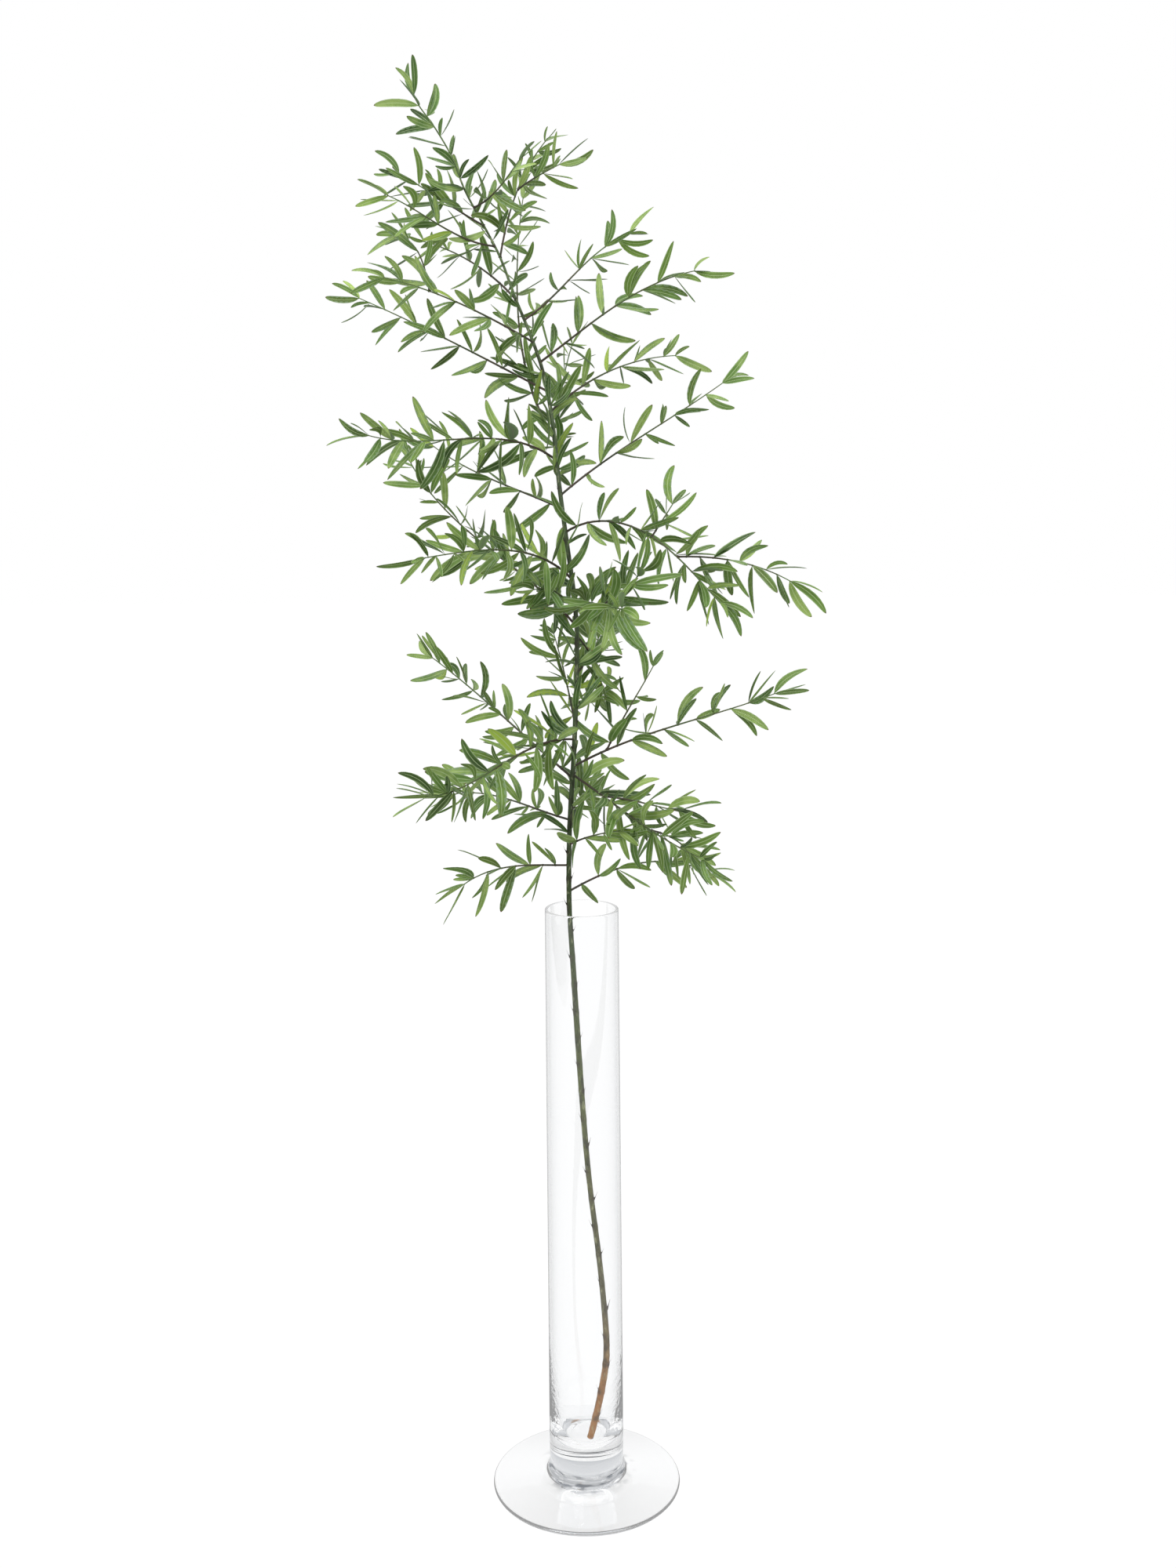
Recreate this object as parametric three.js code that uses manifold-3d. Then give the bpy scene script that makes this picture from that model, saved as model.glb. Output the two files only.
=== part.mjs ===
// A cut stem of sickle-leaved asparagus foliage, standing in a tall footed glass vase.
// Millimetres, +Z up. The origin is the centre of the vase's flat underside. The front is -Y.
import * as THREE from "three";
import { mergeVertices } from "three/addons/utils/BufferGeometryUtils.js";
import Module from "manifold-3d";

const wasm = await Module();
wasm.setup();

// Driving dimensions of the vase
const VASE_HEIGHT = 500;
const VASE_RADIUS = 32.1;
const WALL = 2.4;
const FOOT_RADIUS = 81;
const FOOT_EDGE_RADIUS = 1.6;
const GROOVE_HEIGHT = 20;
const GROOVE_DEPTH = 0.6;
const INNER_FLOOR = 38;
const INNER_FLOOR_RADIUS = 14;
const VASE_SEGMENTS = 32;

// The top of the foot, a shallow cone, and the collar above it: radius and height
const FOOT_TOP = [[58, 7.1], [35.6, 11.4], [33.9, 12.6], [33.3, 15]];

// The inner bowl: distance inside the inner wall, and height
const BOWL_CURVE = [[0, 115], [1.1, 80], [3.2, 58], [6.4, 46], [10.5, 40]];

// Driving dimensions of the plant
const FROND_GAP = 0.3;
const STEM_SIDES = 8;
const STEM_STEP = 36;
const BRANCH_SIDES = 4;
const BRANCH_STEP = 38;
const WALK_STEPS = 24;
const BRANCH_TIP_RADIUS = 0.75;
const BRANCH_ROOT_RADIUS = 0.95;
const BRANCH_STOUTNESS = 0.0018;
const LEAF_LENGTH = 37;
const LEAF_THICKNESS = 0.9;
const LEAF_WIDEST_AT = 0.46;
const STALK_WIDTH = 0.6;
const STALK_THICKNESS = 0.45;
const LEAF_CLEARANCE = 0.35;
const NODE_SPACING = 11.6;
const BARE_ROOT = 13;
const BARE_TWIG_ROOT = 8;
const STEM_SEED = 183;
const BARE_NODE_EVERY = 3;
const TUFT_DEPTH = 1.5;

// The leaf rule, in degrees and in shares of a leaf's length. Pairs are the ends of a range.
const LEAF = {
  widthShare: 0.155,
  leastWidth: 0.5,
  leanAtRoot: 68,
  leanAtTip: 48,
  leanInTuft: 24,
  leanChange: [-16, 20],
  fan: 150,
  sideChange: [-38, 38],
  turnChange: [-25, 25],
  smallShare: 0.14,
  smallSize: 0.55,
  size: [0.78, 1.22],
  sizeAtRoot: 1.04,
  sizeAtTip: 0.9,
  bend: [-0.1, 0.75],
  droop: [-0.1, 0.4],
  roll: [-75, 75],
  threesShare: 0.45,
  spacingChange: [0.85, 1.15],
};

// The main axis from the cut end to the tip of the left leader: x, y, z
const STEM_POINTS = [
  [3.5, -9.8, 40.5], [14, -9, 86], [18, -8, 122], [13.5, -2, 185], [4, 5, 265], [-2.5, 12.5, 350],
  [-8, 20, 442], [-11, 24.3, 498], [-10, 27, 565], [-5.5, 29.5, 632], [-2, 32, 715], [-3.5, 34, 764],
  [-10.5, 35, 820], [-16.5, 36.5, 869], [-22, 38, 925], [-29.5, 39, 968], [-40.5, 40, 1002],
  [-54, 41, 1036], [-67, 41.5, 1072], [-80, 39.5, 1098], [-98, 36, 1132], [-109, 33, 1161],
  [-124, 30, 1187], [-137, 28, 1205], [-142, 26.5, 1216],
];

// Height and radius of the main axis
const STEM_TAPER = [[40, 2.7], [300, 2.4], [500, 2.2], [905, 1.9], [1072, 1.1], [1216, 0.55]];

// Stretches of the main axis that carry leaves of their own: heights, leaf length and node spacing
const STEM_FOLIAGE = [
  { bottom: 560, top: 780, leaf: 36, spacing: 22 },
  { bottom: 780, top: 1060, leaf: 36, spacing: 32 },
  { bottom: 1078, top: 1216, leaf: 37, spacing: 10 },
];

// Spines in the vase: every SPINE_STEP up the stem, left and right in turn
const SPINE_BOTTOM = 66;
const SPINE_TOP = 468;
const SPINE_STEP = 23;
const SPINE_LENGTH = 2.6;
const SPINE_RADIUS = 0.7;

// Each frond leaves the main axis at height z. Its direction turns evenly along its length:
// rise is the angle above level at root, middle and tip, and heading is the compass angle at root
// and tip, with 0 to the right, 90 to the back, 180 to the left and -90 to the front.
// A twig leaves its frond at a share of the frond's length.
const FRONDS = [
  {
    name: "leader_right", z: 1073, length: 123, rise: [74, 66, 51], heading: [59, 19], leaf: 33,
    twigs: [{ at: 0.55, length: 45, rise: [38, 28, 25], heading: [-5, -10] }],
  },
  { name: "spray_top", z: 1117, length: 66, rise: [12, 36, 36], heading: [-32, -48], leaf: 31 },
  { name: "frond_left_01", z: 1101, length: 106, rise: [30, 33, 31], heading: [153, 154], leaf: 34 },
  { name: "frond_left_02", z: 1083, length: 110, rise: [0, 25, 16], heading: [-154, -147], leaf: 36 },
  { name: "frond_left_03", z: 1035, length: 141, rise: [44, 29, 14], heading: [141, 154], leaf: 34 },
  {
    name: "frond_left_04", z: 997, length: 146, rise: [28, 22, 10], heading: [-160, -161],
    twigs: [{ at: 0.71, length: 72, rise: [57, 58, 12], heading: [109, 156] }],
  },
  { name: "frond_left_05", z: 953, length: 206, rise: [28, 27, 24], heading: [162, 163] },
  { name: "frond_left_06", z: 911, length: 259, rise: [49, 68, 70], heading: [137, 67], leaf: 33 },
  { name: "frond_left_07", z: 891, length: 179, rise: [37, -3, 15], heading: [-154, -156], leaf: 41 },
  { name: "frond_left_08", z: 848, length: 152, rise: [22, 21, 34], heading: [150, 150] },
  { name: "frond_left_09", z: 785, length: 190, rise: [34, 4, -6], heading: [-125, -135], leaf: 39 },
  { name: "frond_left_10", z: 755, length: 62, rise: [41, 27, -15], heading: [-122, -142] },
  { name: "frond_left_11", z: 743, length: 215, rise: [50, 38, 62], heading: [167, 167] },
  { name: "frond_left_12", z: 643, length: 185, rise: [10, -17, 9], heading: [-137, -125], leaf: 39 },
  { name: "frond_left_13", z: 655, length: 113, rise: [36, 44, 46], heading: [98, 110] },
  { name: "frond_left_14", z: 609, length: 176, rise: [35, 37, 32], heading: [154, 156], leaf: 34 },
  { name: "frond_left_15", z: 572, length: 122, rise: [9, 12, -15], heading: [154, 157], leaf: 35 },
  { name: "frond_left_16", z: 532, length: 101, rise: [4, 0, -31], heading: [-158, -155] },
  { name: "frond_right_01", z: 1017, length: 138, rise: [32, 44, 20], heading: [27, 24], leaf: 33 },
  { name: "frond_right_02", z: 979, length: 162, rise: [33, 31, 8], heading: [-18, -15] },
  { name: "frond_right_03", z: 935, length: 158, rise: [37, 22, 4], heading: [42, 30] },
  { name: "frond_right_04", z: 868, length: 166, rise: [44, 59, 53], heading: [99, 64], leaf: 33 },
  { name: "frond_right_05", z: 860, length: 183, rise: [40, 32, 35], heading: [12, 11] },
  {
    name: "frond_right_06", z: 827, length: 185, rise: [31, -28, -38], heading: [-27, -47], leaf: 39,
    twigs: [
      { at: 0.67, length: 100, rise: [2, -12, -30], heading: [-5, -6] },
      { at: 0.5, length: 43, rise: [42, 42, 43], heading: [51, 51] },
    ],
  },
  {
    name: "frond_right_07", z: 767, length: 170, rise: [0, 0, 1], heading: [-76, -78], leaf: 40,
    twigs: [{ at: 0.54, length: 50, rise: [18, 36, 56], heading: [-23, -40] }],
  },
  { name: "frond_right_08", z: 735, length: 73, rise: [-38, -44, -48], heading: [53, 65] },
  { name: "frond_right_09", z: 701, length: 87, rise: [20, 25, 29], heading: [67, 77] },
  { name: "frond_right_10", z: 675, length: 62, rise: [2, 4, 21], heading: [59, 66] },
  {
    name: "frond_right_11", z: 619, length: 197, rise: [27, 15, 19], heading: [11, 10],
    twigs: [{ at: 0.17, length: 95, rise: [52, 47, 51], heading: [48, 42] }],
  },
  {
    name: "frond_right_12", z: 612, length: 172, rise: [-19, -19, -7], heading: [-48, -51], leaf: 38,
    twigs: [
      { at: 0.62, length: 34, rise: [-7, -24, -41], heading: [-16, -22] },
      { at: 0.25, length: 72, rise: [0, -8, -5], heading: [-22, -30] },
    ],
  },
  { name: "frond_right_13", z: 578, length: 63, rise: [11, 7, 6], heading: [78, 69] },
  { name: "frond_right_14", z: 550, length: 78, rise: [25, 17, 13], heading: [-54, -53] },
  { name: "frond_right_15", z: 509, length: 131, rise: [27, 8, -29], heading: [12, 10], leaf: 35 },
];

// The seed of each frond's leaves, and its node spacing as a share of NODE_SPACING
const FROND_NODES = {
  leader_right: [1122, 0.82], spray_top: [1033, 1.2], frond_left_01: [1095, 0.93],
  frond_left_02: [1051, 1.2], frond_left_03: [1157, 1.2], frond_left_04: [1079, 1.38],
  frond_left_05: [1013, 1.38], frond_left_06: [1040, 1.05], frond_left_07: [1111, 0.82],
  frond_left_08: [1010, 1.38], frond_left_09: [1166, 0.82], frond_left_10: [1103, 0.82],
  frond_left_11: [1058, 0.82], frond_left_12: [1109, 0.72], frond_left_13: [1162, 1.05],
  frond_left_14: [1048, 0.72], frond_left_15: [1021, 0.82], frond_left_16: [1130, 1.05],
  frond_right_01: [1090, 1.38], frond_right_02: [1069, 1.2], frond_right_03: [1145, 1.38],
  frond_right_04: [1040, 0.93], frond_right_05: [1159, 1.38], frond_right_06: [1080, 0.93],
  frond_right_07: [1011, 0.82], frond_right_08: [1041, 1.2], frond_right_09: [1015, 0.72],
  frond_right_10: [1142, 0.93], frond_right_11: [1118, 1.38], frond_right_12: [1088, 0.93],
  frond_right_13: [1130, 0.72], frond_right_14: [1024, 1.2], frond_right_15: [1119, 1.38],
};

const UP = new THREE.Vector3(0, 0, 1);
const AWAY = new THREE.Vector3(0, 1, 0);
const LIGHT_SIDE = new THREE.Vector3(0.15, -0.9, 0.4);

// A stream of even draws between 0 and 1 that is the same for the same seed
function seededDraws(seed) {
  const modulus = 2147483647;
  const multiplier = 48271;
  let state = (seed * 7919 + 104729) % modulus;
  const draw = () => {
    state = (state * multiplier) % modulus;
    return state / modulus;
  };
  draw();
  draw();
  return draw;
}

function mixed(from, to, share) {
  return from + (to - from) * share;
}

function drawn([low, high], draw) {
  return mixed(low, high, draw());
}

// Value at a place in a list of [place, value] pairs
function alongPairs(pairs, place) {
  for (let index = 1; index < pairs.length; index += 1) {
    const [start, low] = pairs[index - 1];
    const [end, high] = pairs[index];
    if (place <= end) {
      return mixed(low, high, (Math.max(place, start) - start) / (end - start));
    }
  }
  return pairs[pairs.length - 1][1];
}

function runningLengths(points) {
  const distances = [0];
  for (let index = 1; index < points.length; index += 1) {
    distances.push(distances[index - 1] + points[index].distanceTo(points[index - 1]));
  }
  return distances;
}

// A polyline with the distance of each point along it, read by distance or by height
class Path {
  constructor(points, distances = runningLengths(points)) {
    this.points = points;
    this.distances = distances;
    this.length = distances[distances.length - 1];
  }

  // The same path in about as many straight steps as fit, so that a tube and its leaves agree
  inSteps(step) {
    const count = Math.max(3, Math.round(this.length / step));
    const distances = Array.from({ length: count + 1 }, (_, index) => (this.length * index) / count);
    return new Path(distances.map((distance) => this.place(distance).point), distances);
  }

  place(distance) {
    let index = 1;
    while (index < this.points.length - 1 && this.distances[index] < distance) {
      index += 1;
    }
    const start = this.distances[index - 1];
    const share = (distance - start) / (this.distances[index] - start);
    const point = this.points[index - 1].clone().lerp(this.points[index], share);
    const tangent = this.points[index].clone().sub(this.points[index - 1]).normalize();
    return { point, tangent };
  }

  distanceAtHeight(height) {
    let index = 1;
    while (index < this.points.length - 1 && this.points[index].z < height) {
      index += 1;
    }
    const low = this.points[index - 1].z;
    const share = (height - low) / (this.points[index].z - low);
    return mixed(this.distances[index - 1], this.distances[index], share);
  }
}

// A branch that starts at a root and turns evenly along its length
function branchPath(root, { length, rise, heading }) {
  const points = [root.clone()];
  const step = length / WALK_STEPS;
  for (let index = 0; index < WALK_STEPS; index += 1) {
    const share = (index + 0.5) / WALK_STEPS;
    const fromRoot = rise[0] * (1 - share) * (1 - 2 * share);
    const fromMiddle = rise[1] * 4 * share * (1 - share);
    const fromTip = rise[2] * share * (2 * share - 1);
    const up = THREE.MathUtils.degToRad(fromRoot + fromMiddle + fromTip);
    const round = THREE.MathUtils.degToRad(mixed(heading[0], heading[1], share));
    const level = Math.cos(up) * step;
    const move = new THREE.Vector3(level * Math.cos(round), level * Math.sin(round), Math.sin(up) * step);
    points.push(points[index].clone().add(move));
  }
  return new Path(points).inSteps(BRANCH_STEP);
}

// A closed skin over rings that each have the same number of points, or one point at the tip
function skin(rings) {
  const positions = rings.flat().flatMap((point) => [point.x, point.y, point.z]);
  const sides = rings[0].length;
  const faces = [];
  for (let side = 1; side < sides - 1; side += 1) {
    faces.push(0, side + 1, side);
  }
  let start = 0;
  for (let ring = 1; ring < rings.length; ring += 1) {
    const next = start + sides;
    for (let side = 0; side < sides; side += 1) {
      const other = (side + 1) % sides;
      if (rings[ring].length === 1) {
        faces.push(start + side, start + other, next);
      } else {
        faces.push(start + side, start + other, next + other);
        faces.push(start + side, next + other, next + side);
      }
    }
    start = next;
  }
  if (rings[rings.length - 1].length > 1) {
    for (let side = 1; side < sides - 1; side += 1) {
      faces.push(start, start + side, start + side + 1);
    }
  }
  const geometry = new THREE.BufferGeometry();
  geometry.setAttribute("position", new THREE.Float32BufferAttribute(positions, 3));
  geometry.setIndex(faces);
  return geometry;
}

function solidOf(geometry) {
  const bare = geometry.clone();
  bare.deleteAttribute("normal");
  bare.deleteAttribute("uv");
  const merged = mergeVertices(bare);
  const vertProperties = new Float32Array(merged.attributes.position.array);
  const triVerts = new Uint32Array(merged.index.array);
  return new wasm.Manifold(new wasm.Mesh({ numProp: 3, vertProperties, triVerts }));
}

function geometryOf(solid) {
  const { vertProperties, triVerts } = solid.getMesh();
  const geometry = new THREE.BufferGeometry();
  geometry.setAttribute("position", new THREE.BufferAttribute(vertProperties, 3));
  geometry.setIndex(new THREE.BufferAttribute(triVerts, 1));
  return geometry;
}

// A tapering tube with one ring at each point of a path
function tube(path, sides, radiusAt) {
  const last = path.points.length - 1;
  const rings = path.points.map((point, index) => {
    const before = path.points[Math.max(index - 1, 0)];
    const after = path.points[Math.min(index + 1, last)];
    const tangent = after.clone().sub(before).normalize();
    const across = new THREE.Vector3().crossVectors(AWAY, tangent).normalize();
    const around = new THREE.Vector3().crossVectors(tangent, across);
    const ring = [];
    for (let side = 0; side < sides; side += 1) {
      const angle = (2 * Math.PI * side) / sides;
      const offset = across.clone().multiplyScalar(Math.cos(angle));
      offset.addScaledVector(around, Math.sin(angle));
      ring.push(point.clone().addScaledVector(offset, radiusAt(path.distances[index], point)));
    }
    return ring;
  });
  return skin(rings);
}

// Leaves of one node: two or three from one point, on one side of the branch
function leavesAt({ point, tangent }, turn, count, leafLength, lean, draw) {
  const side = new THREE.Vector3().crossVectors(tangent, AWAY).normalize();
  const depth = new THREE.Vector3().crossVectors(side, tangent);
  const leaves = [];
  for (let index = 0; index < count; index += 1) {
    const fan = ((index - (count - 1) / 2) * LEAF.fan) / count;
    const azimuth = THREE.MathUtils.degToRad(turn + fan + drawn(LEAF.turnChange, draw));
    const incline = THREE.MathUtils.degToRad(lean + drawn(LEAF.leanChange, draw));
    const sizeShare = draw();
    const size = sizeShare < LEAF.smallShare ? LEAF.smallSize : mixed(...LEAF.size, sizeShare);
    const length = leafLength * size;
    const bend = drawn(LEAF.bend, draw);
    const droop = drawn(LEAF.droop, draw);
    const roll = THREE.MathUtils.degToRad(drawn(LEAF.roll, draw));
    const outward = side.clone().multiplyScalar(Math.cos(azimuth));
    outward.addScaledVector(depth, Math.sin(azimuth));
    const start = tangent.clone().multiplyScalar(Math.cos(incline));
    start.addScaledVector(outward, Math.sin(incline));
    const end = start.clone().addScaledVector(tangent, bend).addScaledVector(UP, -droop).normalize();
    const middle = point.clone().addScaledVector(start, length * 0.5);
    const tip = middle.clone().addScaledVector(end, length * 0.5);
    const chord = tip.clone().sub(point).normalize();
    const face = LIGHT_SIDE.clone().addScaledVector(chord, -LIGHT_SIDE.dot(chord)).normalize();
    face.applyAxisAngle(chord, roll);
    const width = length * LEAF.widthShare + LEAF.leastWidth;
    leaves.push({ curve: new THREE.QuadraticBezierCurve3(point, middle, tip), face, width });
  }
  return leaves;
}

// Nodes along a branch, each with its leaves, and three leaves round the tip
function leafNodes(path, { from, to, leaf, spacing, tuft }, draw) {
  const nodes = [];
  let distance = from;
  let sideTurn = draw() < 0.5 ? 0 : 180;
  while (distance < to - spacing / 2) {
    const count = draw() < LEAF.threesShare ? 3 : 2;
    const turn = sideTurn + drawn(LEAF.sideChange, draw);
    const share = (distance - from) / (to - from);
    const size = leaf * mixed(LEAF.sizeAtRoot, LEAF.sizeAtTip, share);
    const lean = mixed(LEAF.leanAtRoot, LEAF.leanAtTip, share);
    nodes.push(leavesAt(path.place(distance), turn, count, size, lean, draw));
    distance += spacing * drawn(LEAF.spacingChange, draw);
    sideTurn += 180;
  }
  if (tuft) {
    const end = path.place(to - TUFT_DEPTH);
    for (let turn = 0; turn < 360; turn += 120) {
      nodes.push(leavesAt(end, turn, 1, leaf * LEAF.sizeAtTip, LEAF.leanInTuft, draw));
    }
  }
  return nodes;
}

// A keeled blade of three sides, grown on all sides by a margin
function blade({ curve, face, width }, margin) {
  const stations = [[0, STALK_WIDTH, STALK_THICKNESS], [LEAF_WIDEST_AT, width, LEAF_THICKNESS]];
  const rings = stations.map(([share, across, thickness]) => {
    const tangent = curve.getTangent(share);
    const right = new THREE.Vector3().crossVectors(face, tangent).normalize();
    const normal = new THREE.Vector3().crossVectors(tangent, right);
    const centre = curve.getPoint(share).addScaledVector(normal, margin);
    const half = across / 2 + margin * 2;
    const keel = thickness + margin * 2;
    return [
      centre.clone().addScaledVector(right, half),
      centre.clone().addScaledVector(right, -half),
      centre.clone().addScaledVector(normal, -keel),
    ];
  });
  const tipPoint = curve.getPoint(1).addScaledVector(curve.getTangent(1), margin);
  return skin([...rings, [tipPoint]]);
}

// A solid with the box round it, so that only near neighbours are compared
function boxed(geometry) {
  const box = new THREE.Box3().setFromBufferAttribute(geometry.attributes.position);
  return { box, solid: solidOf(geometry) };
}

function meets(first, second) {
  if (!first.box.intersectsBox(second.box)) {
    return false;
  }
  return first.solid.intersect(second.solid).getMesh().triVerts.length > 0;
}

function arc(centreX, centreY, radius, startDegrees, endDegrees, count) {
  const points = [];
  for (let index = 0; index <= count; index += 1) {
    const angle = THREE.MathUtils.degToRad(mixed(startDegrees, endDegrees, index / count));
    points.push(new THREE.Vector2(centreX + radius * Math.cos(angle), centreY + radius * Math.sin(angle)));
  }
  return points;
}

// Half section of the vase from the middle of the underside, up the outside and down the inside
function vaseProfile() {
  const innerRadius = VASE_RADIUS - WALL;
  const rim = WALL / 2;
  return [
    new THREE.Vector2(0, 0),
    ...arc(FOOT_RADIUS - FOOT_EDGE_RADIUS, FOOT_EDGE_RADIUS, FOOT_EDGE_RADIUS, -90, 80, 4),
    ...FOOT_TOP.map(([radius, height]) => new THREE.Vector2(radius, height)),
    new THREE.Vector2(VASE_RADIUS - GROOVE_DEPTH, GROOVE_HEIGHT),
    new THREE.Vector2(VASE_RADIUS, GROOVE_HEIGHT + 5),
    ...arc(VASE_RADIUS - rim, VASE_HEIGHT - rim, rim, 0, 180, 4),
    ...BOWL_CURVE.map(([inside, height]) => new THREE.Vector2(innerRadius - inside, height)),
    new THREE.Vector2(INNER_FLOOR_RADIUS, INNER_FLOOR),
    new THREE.Vector2(0, INNER_FLOOR),
  ];
}

function vaseGeometry() {
  const lathe = new THREE.LatheGeometry(vaseProfile(), VASE_SEGMENTS);
  lathe.rotateX(Math.PI / 2);
  return lathe;
}

function stemRadius(point) {
  return alongPairs(STEM_TAPER, point.z);
}

function stemTube(path, extra) {
  return tube(path, STEM_SIDES, (distance, point) => stemRadius(point) + extra);
}

function branchTube(path) {
  const rootRadius = BRANCH_ROOT_RADIUS + path.length * BRANCH_STOUTNESS;
  const radiusAt = (distance) => mixed(rootRadius, BRANCH_TIP_RADIUS, distance / path.length);
  return tube(path, BRANCH_SIDES, radiusAt);
}

// A small thorn that points up and away from the stem
function spine(path, height, outward) {
  const { point, tangent } = path.place(path.distanceAtHeight(height));
  const root = point.clone().addScaledVector(outward, stemRadius(point) * 0.5);
  const tip = root.clone().addScaledVector(outward, SPINE_LENGTH).addScaledVector(tangent, SPINE_LENGTH);
  const ring = [0, 1, 2].map((side) => {
    const angle = (2 * Math.PI * side) / 3;
    const offset = AWAY.clone().multiplyScalar(Math.cos(angle) * SPINE_RADIUS * Math.sign(outward.x));
    return root.clone().add(offset).addScaledVector(UP, Math.sin(angle) * SPINE_RADIUS);
  });
  return skin([ring, [tip]]);
}

// Fuses to a body, at each node that isn't skipped, the first leaf that stands clear of all other
// bodies and of the body's own leaves. The leaves of one node meet only in their root.
function addLeaves(body, nodes, others) {
  const grownLeaves = [];
  const ownLeaves = [];
  nodes.forEach((leaves, place) => {
    const isTuft = leaves.length === 1;
    const isSkipped = !isTuft && place % BARE_NODE_EVERY === BARE_NODE_EVERY - 1;
    const clear = leaves.find((leaf) => {
      const grown = boxed(blade(leaf, LEAF_CLEARANCE));
      const plain = boxed(blade(leaf, 0));
      const neighbours = isTuft ? others : [...others, ...ownLeaves];
      return !isSkipped && !neighbours.some((other) => meets(neighbours === others ? grown : plain, other));
    });
    if (clear) {
      const plain = boxed(blade(clear, 0));
      body.solid = body.solid.add(plain.solid);
      ownLeaves.push(plain);
      grownLeaves.push(boxed(blade(clear, LEAF_CLEARANCE)));
    }
  });
  return grownLeaves;
}

const stemCurve = new THREE.CatmullRomCurve3(
  STEM_POINTS.map((point) => new THREE.Vector3(...point)), false, "catmullrom", 0.5,
);
const stemPath = new Path(stemCurve.getPoints((STEM_POINTS.length - 1) * 4)).inSteps(STEM_STEP);

// Every frond's branches come first, so that each leaf can be set clear of all of them
const stem = { name: "main_stem", ...boxed(stemTube(stemPath, 0)) };
const stemReach = boxed(stemTube(stemPath, FROND_GAP));
const fronds = FRONDS.map((frond) => {
  const root = stemPath.place(stemPath.distanceAtHeight(frond.z)).point;
  const main = branchPath(root, frond);
  const twigs = (frond.twigs ?? []).map((twig) => branchPath(main.place(main.length * twig.at).point, twig));
  const branches = [main, ...twigs].map((path) => boxed(branchTube(path)));
  let solid = branches[0].solid;
  for (const twig of branches.slice(1)) {
    solid = solid.add(twig.solid);
  }
  solid = solid.subtract(stemReach.solid);
  return { name: frond.name, frond, paths: [main, ...twigs], branches, solid, leaves: [] };
});

const vase = { name: "vase", ...boxed(vaseGeometry()) };

// The leaves of the main axis, and its spines in the vase
const stemDraw = seededDraws(STEM_SEED);
stem.leaves = [];
for (const { bottom, top, leaf, spacing } of STEM_FOLIAGE) {
  const from = stemPath.distanceAtHeight(bottom);
  const to = stemPath.distanceAtHeight(top);
  const tuft = top === STEM_FOLIAGE[STEM_FOLIAGE.length - 1].top;
  const nodes = leafNodes(stemPath, { from, to, leaf, spacing, tuft }, stemDraw);
  stem.leaves.push(...addLeaves(stem, nodes, [vase, ...fronds.flatMap((frond) => frond.branches)]));
}
let spineSide = 1;
for (let height = SPINE_BOTTOM; height < SPINE_TOP; height += SPINE_STEP) {
  stem.solid = stem.solid.add(solidOf(spine(stemPath, height, new THREE.Vector3(spineSide, 0, 0))));
  spineSide = -spineSide;
}

// The leaves of each frond in turn
for (const item of fronds) {
  const [seed, spacingShare] = FROND_NODES[item.name];
  const spacing = NODE_SPACING * spacingShare;
  const draw = seededDraws(seed);
  const neighbours = fronds.filter((frond) => frond !== item);
  const neighbourParts = neighbours.flatMap((frond) => [...frond.branches, ...frond.leaves]);
  const others = [vase, stemReach, ...stem.leaves, ...neighbourParts];
  item.paths.forEach((path, index) => {
    const from = index === 0 ? BARE_ROOT : BARE_TWIG_ROOT;
    const leaf = item.frond.leaf ?? LEAF_LENGTH;
    const nodes = leafNodes(path, { from, to: path.length, leaf, spacing, tuft: true }, draw);
    item.leaves.push(...addLeaves(item, nodes, others));
  });
}

// Colours and surfaces of the three kinds of sub-part
const finishes = {
  glass: { color: 0xe9eff1, roughness: 0.04, metalness: 0, transparent: true, opacity: 0.35 },
  bark: { color: 0x4c4a35, roughness: 0.7, metalness: 0 },
  foliage: { color: 0x587d46, roughness: 0.5, metalness: 0 },
};

function meshOf(name, geometry, finish) {
  const mesh = new THREE.Mesh(geometry, new THREE.MeshStandardMaterial(finish));
  mesh.name = name;
  return mesh;
}

const model = new THREE.Group();
model.add(meshOf("vase", geometryOf(vase.solid), finishes.glass));
model.add(meshOf("main_stem", geometryOf(stem.solid), finishes.bark));
for (const item of fronds) {
  model.add(meshOf(item.name, geometryOf(item.solid), finishes.foliage));
}

export default model;
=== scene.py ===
"""A cut stem of sickle-leaved asparagus foliage, standing in a tall footed glass vase.

Metres, +Z up. The origin is the centre of the vase's flat underside and the front is -Y. The main axis,
its fronds and their leaves follow one seeded rule, so each finished frond keeps the place of its solid.
"""

from __future__ import annotations

import logging
import math
from collections.abc import Callable, Iterator, Sequence
from dataclasses import dataclass, field
from enum import Enum

import bpy
import numpy as np
from mathutils import Matrix, Vector


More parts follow.
